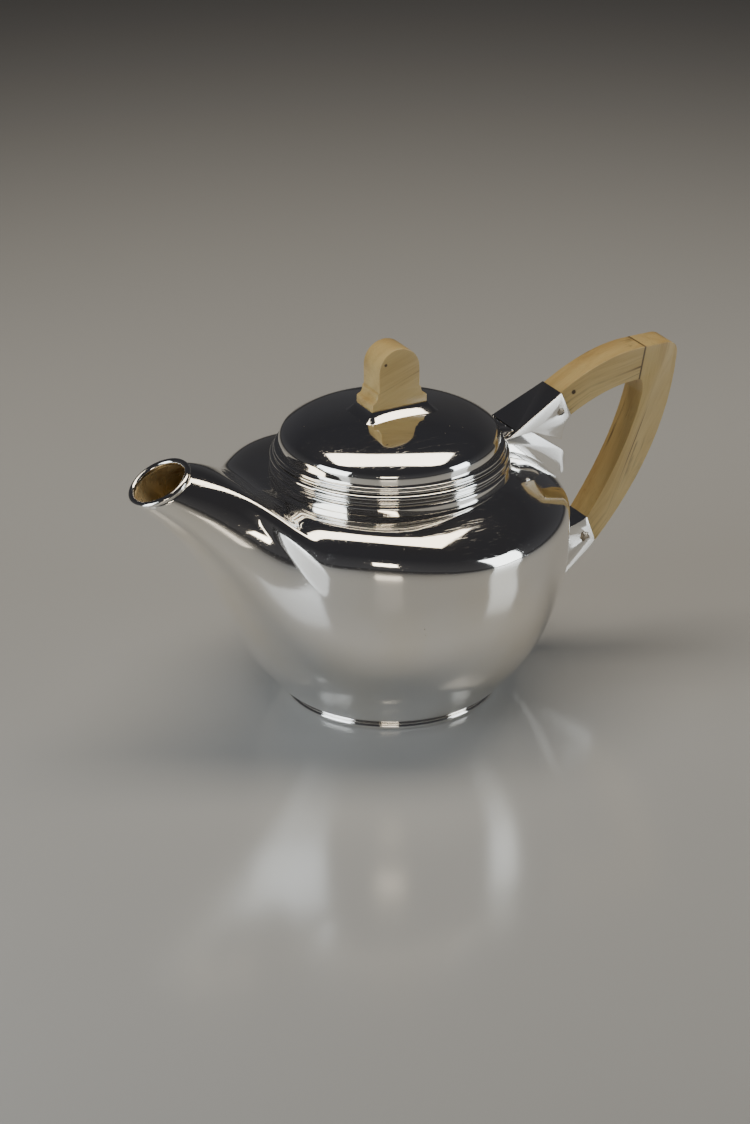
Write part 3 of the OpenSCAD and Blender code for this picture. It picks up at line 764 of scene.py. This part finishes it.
@dataclass
class Workshop:
    """What every sub-assembly shares: the frame and the finishes."""

    nodes: dict[str, bpy.types.Object]
    finishes: Finishes

    def enter(self, made: bpy.types.Object, body: BodyName, slot: Slot, *stands_for: str) -> None:
        """Puts a finished piece on its body.

        Args:
            made: The piece.
            body: The body that it rides on.
            slot: The record's material slot; not used.
            stands_for: Frame nodes that it replaces.
        """
        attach(made, body.value)
        if stands_for:
            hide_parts(*stands_for)
        LOG.info("%s: %d faces on %s", made.name, len(made.data.polygons), body.value)

    def turn(self, outline: Outline, name: str, body: BodyName, node: str) -> None:
        """Turns a silver fitting that takes a frame node's place.

        Args:
            outline: Closed outline of radius and height.
            name: Name of the new piece.
            body: The body that it rides on.
            node: Name of the node.
        """
        made = to_object(lathe(outline), name, [self.finishes.fitting], 30.0)
        self.enter(made, body, Slot.SILVER, node)

    def dress(self, node: str, material: bpy.types.Material) -> None:
        """Gives a frame node that stays a new material.

        Args:
            node: Name of the node.
            material: Its material.
        """
        shown = self.nodes[node]
        if shown.material_slots:
            for place in shown.material_slots:
                place.material = material
        else:
            shown.data.materials.append(material)
        LOG.info("%s: dressed", node)

    def soften(self, node: str, name: str, material: bpy.types.Material, body: BodyName,
               slot: Slot, width: float, segments: int = 3) -> bpy.types.Object:
        """Replaces a frame node by a copy with rounded edges.

        Args:
            node: Name of the node.
            name: Name of the new piece.
            material: Its material.
            body: The body that it rides on.
            slot: The record's material slot.
            width: Width of the rounding, in metres.
            segments: Segments across the rounding.

        Returns:
            The new piece.
        """
        bm = softened_copy(self.nodes[node], width, segments)
        made = to_object(bm, name, [material], 40.0)
        self.enter(made, body, slot, node)
        return made


# --- sub-assemblies -------------------------------------------------------


@dataclass
class RaisedBody:
    """Body and spout, raised from one sheet of silver."""

    shop: Workshop
    base_radius: float = 41.5 * MM
    belly: float = 66.0 * MM
    neck_radius: float = 47.1 * MM
    slope: float = math.radians(14.0)
    bow: float = 1.92
    turn: float = 11.0 * MM
    wall: float = 1.1 * MM
    lift_height: float = 6.0 * MM
    lift_start: float = 14.0 * MM
    lift_run: float = 57.0 * MM
    root: float = 50.0 * MM
    mouth_reach: float = 27.9 * MM
    mouth_rise: float = 13.7 * MM
    mouth_radius: float = 12.4 * MM
    mouth_tilt: float = math.radians(28.0)
    climb: float = math.radians(24.5)
    taper: float = 0.3
    root_pull: float = 0.9
    mouth_pull: float = 1.4
    columns: int = 216
    lines: int = 160
    rings: int = 60
    foot_rows: int = 20
    neck_rows: int = 8
    wire: float = 1.25 * MM
    hammering: tuple[tuple[float, float, float], ...] = (
        (0.13 * MM, 26 * MM, 4.0), (0.03 * MM, 8 * MM, 9.0)
    )

    def __post_init__(self) -> None:
        """Works the driving sizes out from the frame and prepares the curves."""
        low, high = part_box("body_shell")
        self.radius = high.x
        self.base = low.z
        self.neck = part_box("shoulder_step")[0].z
        fall = self.belly - self.base
        inset = self.radius - self.base_radius
        self.under = (inset * inset + fall * fall) / (2 * inset)
        self.bow_radius = self.bow * (self.radius - self.neck_radius)
        self.bow_middle = Vector((self.neck_radius - self.bow_radius * math.sin(self.slope),
                                  self.neck - self.bow_radius * math.cos(self.slope)))
        rest = self.bow_radius - self.turn
        self.turn_angle = math.acos((self.radius - self.turn - self.bow_middle.x) / rest)
        self.turn_level = self.bow_middle.y + rest * math.sin(self.turn_angle)
        self.mouth = Vector((-self.radius - self.mouth_reach, 0, self.neck + self.mouth_rise))
        self.lip = Vector((-math.cos(self.mouth_tilt), 0, -math.sin(self.mouth_tilt)))
        self.way = Vector((-math.cos(self.climb), 0, math.sin(self.climb)))
        offset = self.root - self.radius + self.under
        self.root_low = self.belly - math.sqrt(self.under ** 2 - offset ** 2)
        reach = self.root - self.bow_middle.x
        self.root_high = self.bow_middle.y + math.sqrt(self.bow_radius ** 2 - reach ** 2)

    def wall_radius(self, z: float) -> float:
        """Outside radius of the body at a height, away from the spout."""
        if z <= self.belly:
            return self.radius - self.under + math.sqrt(self.under ** 2 - (self.belly - z) ** 2)
        if z <= self.turn_level:
            return self.radius
        if z <= self.turn_level + self.turn * math.sin(self.turn_angle):
            return self.radius - self.turn + math.sqrt(self.turn ** 2 - (z - self.turn_level) ** 2)
        rise = z - self.bow_middle.y
        return self.bow_middle.x + math.sqrt(self.bow_radius ** 2 - rise ** 2)

    def lift(self, x: float, z: float) -> float:
        """Rise of the shoulder towards the spout."""
        share = max(0.0, min(1.0, (z - self.belly) / (self.neck - self.belly)))
        along = smooth_step((self.lift_start - x) / self.lift_run)
        return self.lift_height * along * math.sin(math.pi * share ** 1.5)

    def skin(self, angle: float, z: float) -> Vector:
        """Point of the outside at an angle and a height."""
        r = self.wall_radius(z)
        x = r * math.cos(angle)
        return Vector((x, r * math.sin(angle), z + self.lift(x, z)))

    def skin_normal(self, angle: float, z: float) -> Vector:
        """Direction square to the outside."""
        turn, step = 0.0004, 0.00002
        round_way = self.skin(angle + turn, z) - self.skin(angle - turn, z)
        up_way = self.skin(angle, z + step) - self.skin(angle, z - step)
        return round_way.cross(up_way).normalized()

    def root_level(self, line: float) -> float:
        """Level at which a line of the spout leaves the body."""
        middle, half = (self.root_low + self.root_high) / 2, (self.root_high - self.root_low) / 2
        return middle - half * math.cos(2 * math.pi * line / self.lines)

    def keep_angle(self, z: float) -> float:
        """Half the angle of the body that remains at a level."""
        r = self.wall_radius(z)
        return math.pi if r <= self.root else math.acos(max(-1.0, -self.root / r))

    def spout_frame(self, line: int) -> tuple[Vector, Vector, Vector, Vector]:
        """Ends and end directions of one line of the spout.

        Args:
            line: Number of the line, from the lowest.

        Returns:
            Start, start direction, end and end direction.
        """
        z = self.root_level(line)
        angle = (-1 if line <= self.lines / 2 else 1) * self.keep_angle(z)
        start, normal = self.skin(angle, z), self.skin_normal(angle, z)
        f = 2 * math.pi * line / self.lines
        radial = self.lip * math.cos(f) + Vector((0, -1, 0)) * math.sin(f)
        end = self.mouth + radial * self.mouth_radius
        gap = end - start
        flat = gap - normal * gap.dot(normal)
        leave = flat.normalized() * gap.length * self.root_pull
        arrive = (self.way - radial * self.taper).normalized() * gap.length * self.mouth_pull
        return start, leave, end, arrive

    @staticmethod
    def spout_point(ends: tuple[Vector, Vector, Vector, Vector], share: float) -> Vector:
        """Point at a share of a line of the spout."""
        start, leave, end, arrive = ends
        s2, s3 = share ** 2, share ** 3
        return (start * (2 * s3 - 3 * s2 + 1) + leave * (s3 - 2 * s2 + share)
                + end * (3 * s2 - 2 * s3) + arrive * (s3 - s2))

    def row_level(self, row: int) -> float:
        """Level of one row of the body, from the base to the neck."""
        half = self.lines // 2
        if row < self.foot_rows:
            return self.base + (self.root_low - self.base) * row / self.foot_rows
        if row <= self.foot_rows + half:
            return self.root_level(row - self.foot_rows)
        rest = (row - self.foot_rows - half) / self.neck_rows
        return self.root_high + (self.neck - self.root_high) * rest

    def build(self) -> None:
        """Builds the sheet and its fittings at the base and the mouth."""
        bm = bmesh.new()
        rows = self.foot_rows + self.lines // 2 + self.neck_rows

        def on_body(column: int, row: int) -> Vector:
            """Point of the body for a column and a row."""
            z = self.row_level(row)
            return self.skin(self.keep_angle(z) * (2 * column / self.columns - 1), z)

        ends = [self.spout_frame(line) for line in range(self.lines)]

        def on_spout(column: int, row: int) -> Vector:
            """Point of the spout for a line and a ring."""
            return self.spout_point(ends[column % self.lines], row / self.rings)

        add_patch(bm, self.columns, rows, on_body)
        add_patch(bm, self.lines, self.rings, on_spout)
        bmesh.ops.remove_doubles(bm, verts=bm.verts, dist=3e-6)
        floor = [e for e in bm.edges if len(e.link_faces) == 1
                 and max(v.co.z for v in e.verts) < self.base + 0.2 * MM]
        bmesh.ops.holes_fill(bm, edges=floor, sides=0)
        bmesh.ops.recalc_face_normals(bm, faces=bm.faces)
        centre = Vector((0, 0, self.belly))
        if sum(f.normal.dot(f.calc_center_median() - centre) for f in bm.faces) < 0:
            bmesh.ops.reverse_faces(bm, faces=bm.faces)
        for height, length, seed in self.hammering:
            wobble(bm, height, length, seed)
        finishes = self.shop.finishes
        made = to_object(bm, "raised_body", [finishes.silver, finishes.stained], 50.0)
        sheet = made.modifiers.new("sheet thickness", "SOLIDIFY")
        sheet.thickness = self.wall
        sheet.offset = -1.0
        sheet.material_offset = 1
        sheet.material_offset_rim = 0
        self.shop.enter(made, BodyName.POT, Slot.SILVER, "body_shell")
        self.build_base()
        self.build_mouth_wire()
        self.shop.soften("strainer", "strainer_plate", finishes.stained, BodyName.POT,
                         Slot.SILVER, 0.1 * MM, 1)

    def build_base(self) -> None:
        """Turns the base plate with its fine bead."""
        low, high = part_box("base_plate")
        bead = (high.z - low.z) / 2
        rim = high.x - bead
        outline = [(0.0, low.z), *arc((rim, low.z + bead), bead, -90, 90, 14), (0.0, high.z)]
        self.shop.turn(outline, "base_plate_turned", BodyName.POT, "base_plate")

    def build_mouth_wire(self) -> None:
        """Bends the wire round the mouth of the spout."""
        ring = self.mouth_radius - self.wall / 2
        outline = arc((ring, self.wire * 0.5), self.wire, -30, 210, 18)
        bm = lathe(outline, 128)
        turn = Matrix.Translation(self.mouth) @ Matrix.Rotation(-self.mouth_tilt, 4, "Y")
        bmesh.ops.transform(bm, matrix=turn, verts=bm.verts)
        wobble(bm, 0.12 * MM, 9 * MM, 2.0)
        made = to_object(bm, "mouth_wire", [self.shop.finishes.fitting], 40.0)
        self.shop.enter(made, BodyName.POT, Slot.SILVER, "spout_rim")


@dataclass
class Collar:
    """Mouldings round the opening."""

    shop: Workshop
    bore: float = 42.6 * MM
    bead: float = 1.2 * MM
    foot: float = 1.0 * MM
    inset: float = 0.4 * MM

    def build(self) -> None:
        """Turns both mouldings."""
        self.build_step()
        self.build_ring()

    def build_step(self) -> None:
        """Turns the lower moulding."""
        low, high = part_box("shoulder_step")
        r = high.x
        outline = [
            (self.bore, low.z), (r, low.z), (r, low.z + self.foot),
            *arc((r - self.bead, high.z - self.bead), self.bead, 0, 90), (self.bore, high.z),
        ]
        self.shop.turn(outline, "lower_moulding", BodyName.POT, "shoulder_step")

    def build_ring(self) -> None:
        """Turns the upper moulding: a hollow below a bead."""
        low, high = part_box("collar_ring")
        r = high.x
        hollow = (high.z - low.z - 2 * self.bead) / 2
        outline = [
            (self.bore, low.z), (r - self.inset, low.z),
            *arc((r - self.inset, low.z + hollow), hollow, 270, 90),
            *arc((r - self.bead, high.z - self.bead), self.bead, -60, 90),
            (self.bore, high.z),
        ]
        self.shop.turn(outline, "upper_moulding", BodyName.POT, "collar_ring")


@dataclass
class Lid:
    """Domed lid with its rim, bezel, hinge strap and fastened knob."""

    shop: Workshop
    sheet: float = 1.1 * MM
    round_radius: float = 5.0 * MM
    edge_radius: float = 27.0 * MM
    edge_fall: float = 36.0
    crown_fall: float = 14.0
    wall_height: float = 2.3 * MM
    rim_width: float = 1.6 * MM
    rim_step: float = 0.5 * MM
    boss_edge: float = 0.25 * MM
    boss_spread: float = 4.9 * MM
    boss_flare: float = 1.1
    boss_ease: float = 1.25
    boss_sink: float = 0.12 * MM
    boss_round: float = 0.35 * MM
    boss_round_rows: float = 1.5

    def build(self) -> None:
        """Builds every piece of the lid."""
        self.build_dome()
        self.build_rim()
        self.build_knob()
        silver = self.shop.finishes.fitting
        self.shop.soften("lid_leaf", "hinge_strap", silver, BodyName.LID, Slot.SILVER, 0.15 * MM, 2)
        self.shop.dress("lid_bezel", silver)
        for node in ("knob_bolt", "knob_washer", "knob_nut"):
            self.shop.dress(node, self.shop.finishes.brass)

    def dome_line(self, inset: float, low: float, radius: float) -> Outline:
        """Outline of the dome from its wall to its crown.

        Args:
            inset: Distance in from the outside.
            low: Foot of the wall.
            radius: Outside radius of the wall.

        Returns:
            Points from the foot of the wall to the axis.
        """
        fall, slope = math.radians(self.edge_fall), math.radians(self.crown_fall)
        turn_at = (radius - self.round_radius, low + self.wall_height)
        gap = self.edge_radius - self.round_radius
        edge_at = (turn_at[0] - gap * math.sin(fall), turn_at[1] - gap * math.cos(fall))
        sphere = self.edge_radius + edge_at[0] / math.sin(slope)
        middle = edge_at[1] - (sphere - self.edge_radius) * math.cos(slope)
        turn = arc(turn_at, self.round_radius - inset, 0, 90 - self.edge_fall, 16)
        edge = arc(edge_at, self.edge_radius - inset, 90 - self.edge_fall, 90 - self.crown_fall, 14)
        cap = arc((0.0, middle), sphere - inset, 90 - self.crown_fall, 90, 40)
        return [(radius - inset, low), *turn, *edge[1:], *cap[1:-1], (0.0, cap[-1][1])]

    def build_dome(self) -> None:
        """Turns the dome's sheet and raises the knob's boss on it."""
        low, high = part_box("lid_dome")
        outside = self.dome_line(0.0, low.z, high.x)
        inside = self.dome_line(self.sheet, low.z, high.x)
        bm = lathe(outside + inside[::-1])
        wobble(bm, 0.07 * MM, 22 * MM, 6.0)
        self.add_boss(bm, outside, high.z)
        made = to_object(bm, "domed_lid", [self.shop.finishes.silver], 50.0)
        self.shop.enter(made, BodyName.LID, Slot.SILVER, "lid_dome")

    def add_boss(self, bm: bmesh.types.BMesh, dome: Outline, top: float) -> None:
        """Raises the boss that spreads from the knob's foot into the dome.

        Args:
            bm: The dome's mesh.
            dome: Outline of the dome's outside.
            top: Level of the knob's foot.
        """
        low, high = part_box("knob")
        middle, half = (low + high) / 2, (high - low) / 2
        corner_steps, side_steps, rows = 8, 6, 14
        ways = []
        for quarter, (sx, sy) in enumerate(((1, 1), (-1, 1), (-1, -1), (1, -1))):
            for i in range(corner_steps + 1):
                turn = math.radians(90 * quarter + 90 * i / corner_steps)
                ways.append((Vector((sx * half.x, sy * half.y)),
                             Vector((math.cos(turn), math.sin(turn)))))
            last, along = ways[-1]
            nx, ny = ((-1, 1), (-1, -1), (1, -1), (1, 1))[quarter]
            following = Vector((nx * half.x, ny * half.y))
            ways += [(last.lerp(following, i / side_steps), along) for i in range(1, side_steps)]

        def on_boss(column: int, row: int) -> Vector:
            """Point of the boss for a column and a row."""
            corner, way = ways[column % len(ways)]
            share = row / rows
            spread = self.boss_edge + self.boss_spread * share ** self.boss_flare
            flat = corner + way * spread
            x, y = middle.x + flat.x, middle.y + flat.y
            skin = self.dome_level(dome, math.hypot(x, y)) - self.boss_sink * share
            eased = min(1.0, 1 - (1 - share) ** self.boss_ease)
            soft = self.boss_round * math.exp(-share * rows / self.boss_round_rows)
            return Vector((x, y, top + (skin - top) * eased - self.boss_round + soft))

        boss = bmesh.new()
        add_patch(boss, len(ways), rows, on_boss)
        bmesh.ops.remove_doubles(boss, verts=boss.verts, dist=1e-6)
        rims = [e for e in boss.edges if len(e.link_faces) == 1]
        bmesh.ops.holes_fill(boss, edges=rims, sides=0)
        lowest = [f for f in boss.faces if len(f.verts) > 4 and f.calc_center_median().z < top - MM]
        for vertex in bmesh.ops.poke(boss, faces=lowest)["verts"]:
            vertex.co.z = dome[-1][1] - self.sheet / 2
        bmesh.ops.recalc_face_normals(boss, faces=boss.faces)
        holder = bpy.data.meshes.new("boss")
        boss.to_mesh(holder)
        boss.free()
        bm.from_mesh(holder)
        bpy.data.meshes.remove(holder)

    @staticmethod
    def dome_level(dome: Outline, radius: float) -> float:
        """Level of the dome's outside at a radius."""
        for (outer, low), (inner, high) in zip(dome, dome[1:]):
            if inner <= radius <= outer and outer > inner:
                return high + (low - high) * (radius - inner) / (outer - inner)
        return dome[-1][1]

    def build_rim(self) -> None:
        """Turns the rim's two fine beads."""
        low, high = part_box("lid_rim")
        small = (high.z - low.z) / 4
        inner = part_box("lid_bezel")[1].x - self.rim_width
        outline = [
            (inner, low.z),
            *arc((high.x - small, low.z + small), small, -90, 60),
            *arc((high.x - small - self.rim_step, low.z + 3 * small), small, -60, 90),
            (inner, high.z),
        ]
        self.shop.turn(outline, "lid_beads", BodyName.LID, "lid_rim")

    def build_knob(self) -> None:
        """Rounds the edges of the carved knob."""
        bm = softened_copy(self.shop.nodes["knob"], 0.9 * MM, 4)
        made = to_object(bm, "carved_knob", [self.shop.finishes.knob], 40.0)
        low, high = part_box("knob")
        write_grain(made, [(low.x - 0.02, low.z), (high.x + 0.02, high.z)])
        self.shop.enter(made, BodyName.LID, Slot.PALE_WOOD, "knob")


@dataclass
class HandleFittings:
    """Sockets, hinge and cross pins that hold the handle and the lid."""

    shop: Workshop
    head: float = 0.6 * MM
    shank_share: float = 0.65
    star_size: float = 0.88
    star_five: float = 0.10
    star_three: float = 0.07

    def build(self) -> None:
        """Builds every fitting."""
        silver = self.shop.finishes.fitting
        for node, name, width, segments in (
            ("upper_socket", "socket_sleeve", 0.35 * MM, 3),
            ("socket_foot", "socket_shelf", 0.35 * MM, 3),
            ("lower_socket", "lower_sleeve", 0.35 * MM, 3),
            ("hinge_knuckles", "pot_knuckles", 0.15 * MM, 2),
        ):
            self.shop.soften(node, name, silver, BodyName.POT, Slot.SILVER, width, segments)
        self.shop.dress("hinge_pin", silver)
        self.shop.dress("arm_dowel", self.shop.finishes.brass)
        self.build_peened_pin("upper_pin", "upper_peened_pin", 1.0)
        self.build_peened_pin("lower_pin", "lower_peened_pin", 4.0)

    def build_peened_pin(self, node: str, name: str, seed: float) -> None:
        """Hammers the heads of a cross pin into uneven stars.

        Args:
            node: Frame node of the pin.
            name: Name of the new piece.
            seed: Makes each pin's heads differ.
        """
        low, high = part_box(node)
        middle = (low + high) / 2
        radius = (high.x - low.x) / 2
        half = (high.y - low.y) / 2
        shank = radius * self.shank_share
        rim = half - self.head
        outline = [
            (0.0, -half), *[(radius * math.sin(a), -rim - self.head * math.cos(a))
                            for a in (math.pi / 16 * i for i in range(1, 9))],
            (shank, -rim), (shank, rim),
            *[(radius * math.cos(a), rim + self.head * math.sin(a))
              for a in (math.pi / 16 * i for i in range(0, 8))],
            (0.0, half),
        ]
        bm = lathe(outline, 64)
        for vertex in bm.verts:
            if math.hypot(vertex.co.x, vertex.co.y) > shank * 1.02:
                turn = math.atan2(vertex.co.y, vertex.co.x)
                five = self.star_five * math.sin(5 * turn + seed)
                three = self.star_three * math.sin(3 * turn + 2 * seed)
                factor = self.star_size + (five + three)
                vertex.co.x *= factor
                vertex.co.y *= factor
        place = Matrix.Translation(middle) @ Matrix.Rotation(math.pi / 2, 4, "X")
        bmesh.ops.transform(bm, matrix=place, verts=bm.verts)
        made = to_object(bm, name, [self.shop.finishes.pins], 50.0)
        self.shop.enter(made, BodyName.POT, Slot.SILVER, node)


@dataclass
class CarvedHandle:
    """Upper arm and grip, carved and then joined at a slanting seam."""

    shop: Workshop
    rounding: float = 1.3 * MM
    seam_reach: float = 0.2 * MM

    def build(self) -> None:
        """Carves both arms."""
        upper_low, upper_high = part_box("upper_arm")
        outer_low, outer_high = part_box("outer_arm")
        upper_path = [
            (upper_low.x, upper_low.z + 4 * MM),
            (upper_low.x + 18 * MM, upper_high.z - 11 * MM),
            (upper_high.x, upper_high.z - 6 * MM),
        ]
        self.carve("upper_arm", "carved_upper_arm", upper_path)
        grip_path = [
            (outer_low.x, outer_low.z),
            (outer_low.x + 24 * MM, outer_low.z + 25 * MM),
            (outer_high.x - 10 * MM, outer_low.z + 54 * MM),
            (outer_high.x - 5 * MM, outer_high.z - 4 * MM),
        ]
        self.carve("outer_arm", "carved_grip", grip_path)

    def on_seam(self, point: Vector) -> bool:
        """Whether a point lies on the joint between the two arms."""
        return abs(point.x - SEAM_SLANT * point.z - SEAM_AT) < self.seam_reach

    def carve(self, node: str, name: str, path: Sequence[tuple[float, float]]) -> None:
        """Rounds one arm's edges and gives it its grain.

        Args:
            node: Frame node of the arm.
            name: Name of the new piece.
            path: Middle line that the grain follows.
        """
        bm = softened_copy(self.shop.nodes[node], self.rounding, 4, tight=self.on_seam)
        made = to_object(bm, name, [self.shop.finishes.handle], 40.0)
        write_grain(made, path)
        self.shop.enter(made, BodyName.POT, Slot.PALE_WOOD, node)


# --- studio ---------------------------------------------------------------


@dataclass
class Studio:
    """Floor, soft lights and camera."""

    eye: Vector = field(default_factory=lambda: Vector((-0.6509, -1.2048, 0.6906)))
    look: Vector = field(default_factory=lambda: Vector((0.4274, 0.7994, -0.4222)))
    roll: float = math.radians(-0.34)
    lens: float = 122.7
    sensor: float = 36.0

    def build(self) -> None:
        """Sets up everything that isn't the teapot."""
        self.add_camera()
        self.add_floor()
        self.add_sky()
        aim = Vector((0.0, 0.0, 0.07))
        cool, cream = (0.88, 0.95, 1.0), (1.0, 0.90, 0.74)
        self.add_softbox("left softbox", Vector((-0.80, -0.05, 0.26)), aim, (0.50, 0.50), 3.4, cool)
        self.add_softbox("right softbox", Vector((0.70, -0.66, 0.27)), aim, (0.34, 0.52), 2.6, cool)
        over = Vector((0.11, 0.20, 1.15))
        below = Vector((over.x, over.y, 0))
        self.add_softbox("overhead panel", over, below, (1.2, 0.50), 9.0, cream)
        self.add_softbox("front card", Vector((-0.75, -1.35, 0.40)), aim, (0.45, 0.22), 2.0, cream)

    def add_camera(self) -> None:
        """Places the camera."""
        data = bpy.data.cameras.new("camera")
        data.lens = self.lens
        data.sensor_width = self.sensor
        data.clip_start, data.clip_end = 0.05, 50.0
        camera = bpy.data.objects.new("camera", data)
        bpy.context.scene.collection.objects.link(camera)
        ahead = self.look.normalized()
        level = ahead.cross(Vector((0, 0, 1))).normalized()
        upright = level.cross(ahead)
        right = level * math.cos(self.roll) + upright * math.sin(self.roll)
        up = upright * math.cos(self.roll) - level * math.sin(self.roll)
        turn = Matrix((right, up, -ahead)).transposed().to_4x4()
        camera.matrix_world = Matrix.Translation(self.eye) @ turn
        bpy.context.scene.camera = camera

    def add_floor(self) -> None:
        """Lays the floor."""
        bm = bmesh.new()
        bmesh.ops.create_grid(bm, x_segments=2, y_segments=2, size=6.0)
        floor = to_object(bm, "floor", [FloorFinish().make()])

    def add_sky(self) -> None:
        """Gives the room an even soft light, darker overhead than at the floor."""
        world = bpy.data.worlds.new("room")
        world.use_nodes = True
        nodes, links = world.node_tree.nodes, world.node_tree.links
        nodes.clear()
        coords = nodes.new("ShaderNodeTexCoord")
        split = nodes.new("ShaderNodeSeparateXYZ")
        ramp = nodes.new("ShaderNodeValToRGB")
        stops = ramp.color_ramp.elements
        stops[0].position, stops[0].color = 0.0, (0.07, 0.07, 0.075, 1)
        stops[1].position, stops[1].color = 0.55, (0.035, 0.035, 0.04, 1)
        back = nodes.new("ShaderNodeBackground")
        back.inputs["Strength"].default_value = 0.8
        out = nodes.new("ShaderNodeOutputWorld")
        links.new(coords.outputs["Generated"], split.inputs[0])
        links.new(split.outputs["Z"], ramp.inputs["Fac"])
        links.new(ramp.outputs["Color"], back.inputs["Color"])
        links.new(back.outputs["Background"], out.inputs["Surface"])
        bpy.context.scene.world = world

    @staticmethod
    def add_softbox(name: str, place: Vector, aim: Vector, size: tuple[float, float],
                    power: float, colour: tuple[float, float, float]) -> None:
        """Hangs one soft light.

        Args:
            name: Its name.
            place: Where it hangs.
            aim: What it faces.
            size: Its width and height.
            power: Its power in watts.
            colour: Its colour.
        """
        data = bpy.data.lights.new(name, "AREA")
        data.shape = "RECTANGLE"
        data.size, data.size_y = size
        data.energy = power
        data.color = colour
        light = bpy.data.objects.new(name, data)
        bpy.context.scene.collection.objects.link(light)
        light.location = place
        light.rotation_mode = "QUATERNION"
        light.rotation_quaternion = (aim - place).to_track_quat("-Z", "Y")
        if abs((aim - place).normalized().z) > STRAIGHT_DOWN:
            light.rotation_quaternion = Quaternion((0, 0, 1), PANEL_TURN)


def main() -> None:
    """Builds the teapot and the studio."""
    logging.basicConfig(level=logging.INFO, format="%(name)s: %(message)s")
    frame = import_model()
    Studio().build()
    shop = Workshop(frame["nodes"], Finishes())
    for assembly in (RaisedBody(shop), Collar(shop), Lid(shop), HandleFittings(shop),
                     CarvedHandle(shop)):
        assembly.build()


if __name__ == "__main__":
    main()
